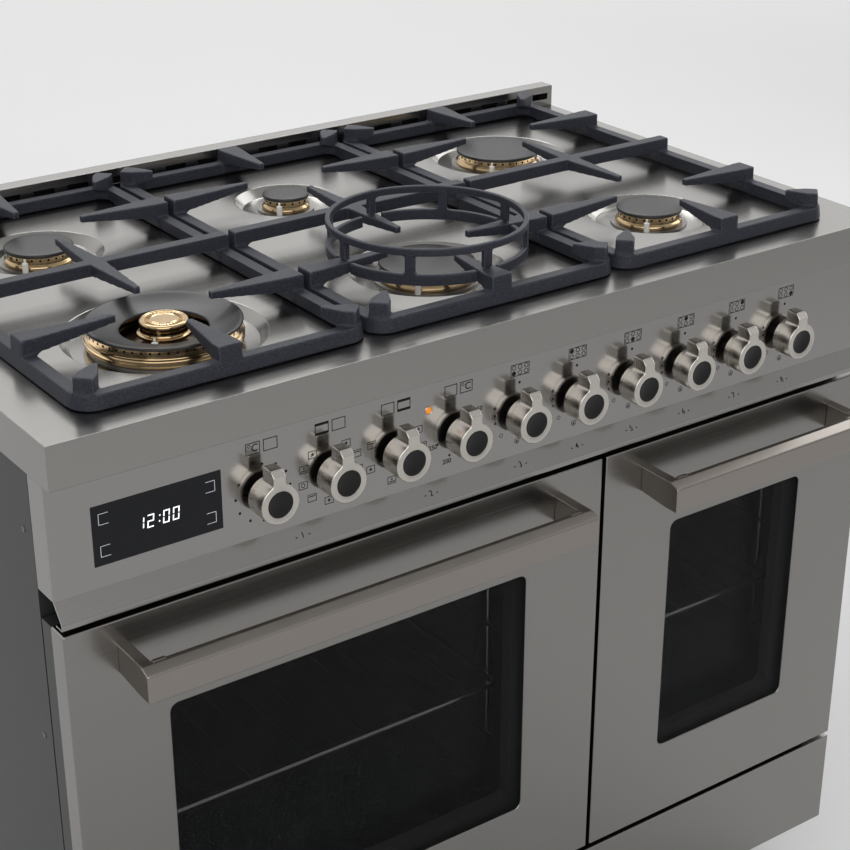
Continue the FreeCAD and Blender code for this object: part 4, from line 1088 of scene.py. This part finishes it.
# Pilot lamp
def build_pilot_lamp():
    low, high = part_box("pilot_lamp")
    place = Vector(((low.x + high.x) / 2, panel_y, (low.z + high.z) / 2))
    gem = turned_mesh("pilot_gem", [(0.4, -2.2), (1.4, -2.1), (2.7, -1.4), (3.5, -0.4), (3.6, 0), (3, 0),
                                    (3, 15), (0.4, 15)], 8, "y")
    add_piece("pilot_gem", moved_mesh(gem, place), "carcass", [finishes["amber"]],
              ["pilot_lamp"])
    bezel = turned_mesh("pilot_bezel", [(3.3, 0), (4.3, 0), (4.2, -0.4), (3.8, -0.6), (3.4, -0.4)],
                        40, "y", hole=True)
    add_piece("pilot_bezel", smoothed(moved_mesh(bezel, place), 50), "carcass",
              [finishes["knob_nickel"]])


# Screws on the sides and back
def screw_row(place, count, start, end, radius, depth):
    return grown(dot_row, place, Count=count, Start=start, Step=(end - start) / (count - 1),
                 Size=(radius * MM, radius * MM, depth * MM), Material=finishes["element_steel"])


def build_screws():
    heads = []
    sideways = Matrix.Rotation(math.radians(90), 4, "Y")
    low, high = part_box("side_panels")
    side_inset = 18 * MM
    end_inset = 60 * MM
    for face in (low.x, high.x):
        for y in (low.y + side_inset, high.y - side_inset):
            place = Matrix.Translation((face, y, 0)) @ sideways
            heads.append(screw_row(place, 4, -high.z + end_inset, -low.z - end_inset, 3, 1.2))
    low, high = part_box("back_panel")
    back_inset = 20 * MM
    for z in (low.z + back_inset, (low.z + high.z) / 2, high.z - back_inset):
        place = Matrix.Translation((0, high.y + 0.6 * MM, z)) @ upright
        heads.append(screw_row(place, 9, low.x + back_inset, high.x - back_inset, 4, 1.4))
    add_piece("case_screws", smoothed(joined_mesh("case_screws", heads), 40), "carcass",
              [finishes["element_steel"]])


build_knobs()
build_burners()
build_supports()
build_sheet_metal()
build_panel_print()
build_flare_marks()
build_clock()
build_pilot_lamp()
build_screws()


# Studio
def seen_rays(wire):
    """One for a ray from the camera, a mirror or a pane, and zero for a ray that only lights."""
    rays = wire.add("LightPath").socket.node.outputs
    seen = Wire(wire.tree, rays["Is Camera Ray"])
    for name in ("Is Glossy Ray", "Is Transmission Ray"):
        seen = wire.sum("MAXIMUM", seen, Wire(wire.tree, rays[name]))
    return seen


def room_tone(wire, depth):
    """White behind the cooker and a soft grey in front of it, by how far back a direction points."""
    behind = wire.spread(depth, -0.5, 0.35, 0.0, 1.0)
    return wire.blend(behind, (0.48, 0.48, 0.48, 1), (1, 1, 1, 1))


def build_floor():
    """A pale floor that fades into the tone of the room far from the cooker."""
    bpy.ops.mesh.primitive_plane_add(size=60, location=(0, 0, 0))
    floor = bpy.context.object
    floor.name = "studio_floor"
    material, wire = new_finish("studio_floor")
    cloud = wire.noise(3)
    tone = wire.blend(cloud, (0.60, 0.60, 0.60, 1), (0.62, 0.62, 0.62, 1))
    place = wire.add("TexCoord", out=3)
    away = wire.add("VectorMath", {0: place}, out=1, operation="LENGTH")
    way = wire.add("VectorMath", {0: place}, operation="NORMALIZE")
    fade = wire.spread(away, 2.5, 9.0, 0.0, 1.0) * seen_rays(wire)
    near = wire.add("BsdfPrincipled", {"Base Color": tone, "Roughness": 0.9})
    depth = wire.add("SeparateXYZ", {0: way}, out=1)
    far = wire.add("Emission", {"Color": room_tone(wire, depth), "Strength": 1.0})
    wire.add("OutputMaterial", {"Surface": wire.add("MixShader", {0: fade, 1: near, 2: far})})
    floor.data.materials.append(material)


def build_world():
    """A pale room, white behind the cooker and a soft grey in front of it."""
    world = bpy.data.worlds.new("studio_air")
    scene.world = world
    world.use_nodes = True
    world.node_tree.nodes.clear()
    wire = Wire(world.node_tree)
    way = wire.add("SeparateXYZ", {0: wire.add("TexCoord", out=0)}).socket.node.outputs
    above = wire.spread(Wire(wire.tree, way[2]), 0.5, 0.85, 0.0, 1.0)
    pale = wire.blend(above, room_tone(wire, Wire(wire.tree, way[1])), (0.5, 0.5, 0.5, 1))
    soft = wire.add("Background", {"Color": (1, 1, 1, 1), "Strength": 0.52})
    white = wire.add("Background", {"Color": pale, "Strength": 1.0})
    mix = wire.add("MixShader", {0: seen_rays(wire), 1: soft, 2: white})
    wire.add("OutputWorld", {"Surface": mix})


def area_lamp(name, place, target, size, power):
    lamp = bpy.data.lights.new(name, "AREA")
    lamp.shape = "RECTANGLE"
    lamp.size = size[0]
    lamp.size_y = size[1]
    lamp.energy = power
    item = new_object(name, lamp)
    item.location = place
    item.rotation_euler = (Vector(target) - Vector(place)).to_track_quat("-Z", "Y").to_euler()


def build_camera():
    """A camera at the photograph's viewing angle, for a square picture of 850 pixels."""
    data = bpy.data.cameras.new("photo_camera")
    picture_pixels = 850
    focal_pixels = 1860
    data.sensor_width = 36
    data.sensor_fit = "HORIZONTAL"
    data.lens = focal_pixels * data.sensor_width / picture_pixels
    item = new_object("photo_camera", data)
    yaw = math.radians(35.54)
    pitch = math.radians(24.9)
    ahead = Vector((math.sin(yaw) * math.cos(pitch), math.cos(yaw) * math.cos(pitch), -math.sin(pitch)))
    item.location = (-1.042, -1.564, 1.554)
    item.rotation_euler = ahead.to_track_quat("-Z", "Y").to_euler()
    scene.camera = item


build_floor()
build_world()
area_lamp("key_softbox", (-1.4, -2.6, 2.5), (0, -0.1, 0.8), (3.6, 2.8), 49)
area_lamp("fill_softbox", (3.0, 0.4, 2.2), (0, -0.1, 0.6), (2.2, 2.2), 26)
area_lamp("backdrop_softbox", (1.4, 2.9, 4.2), (1.6, 3.4, 0), (3.2, 2.0), 130)
build_camera()
scene.view_settings.view_transform = "Standard"
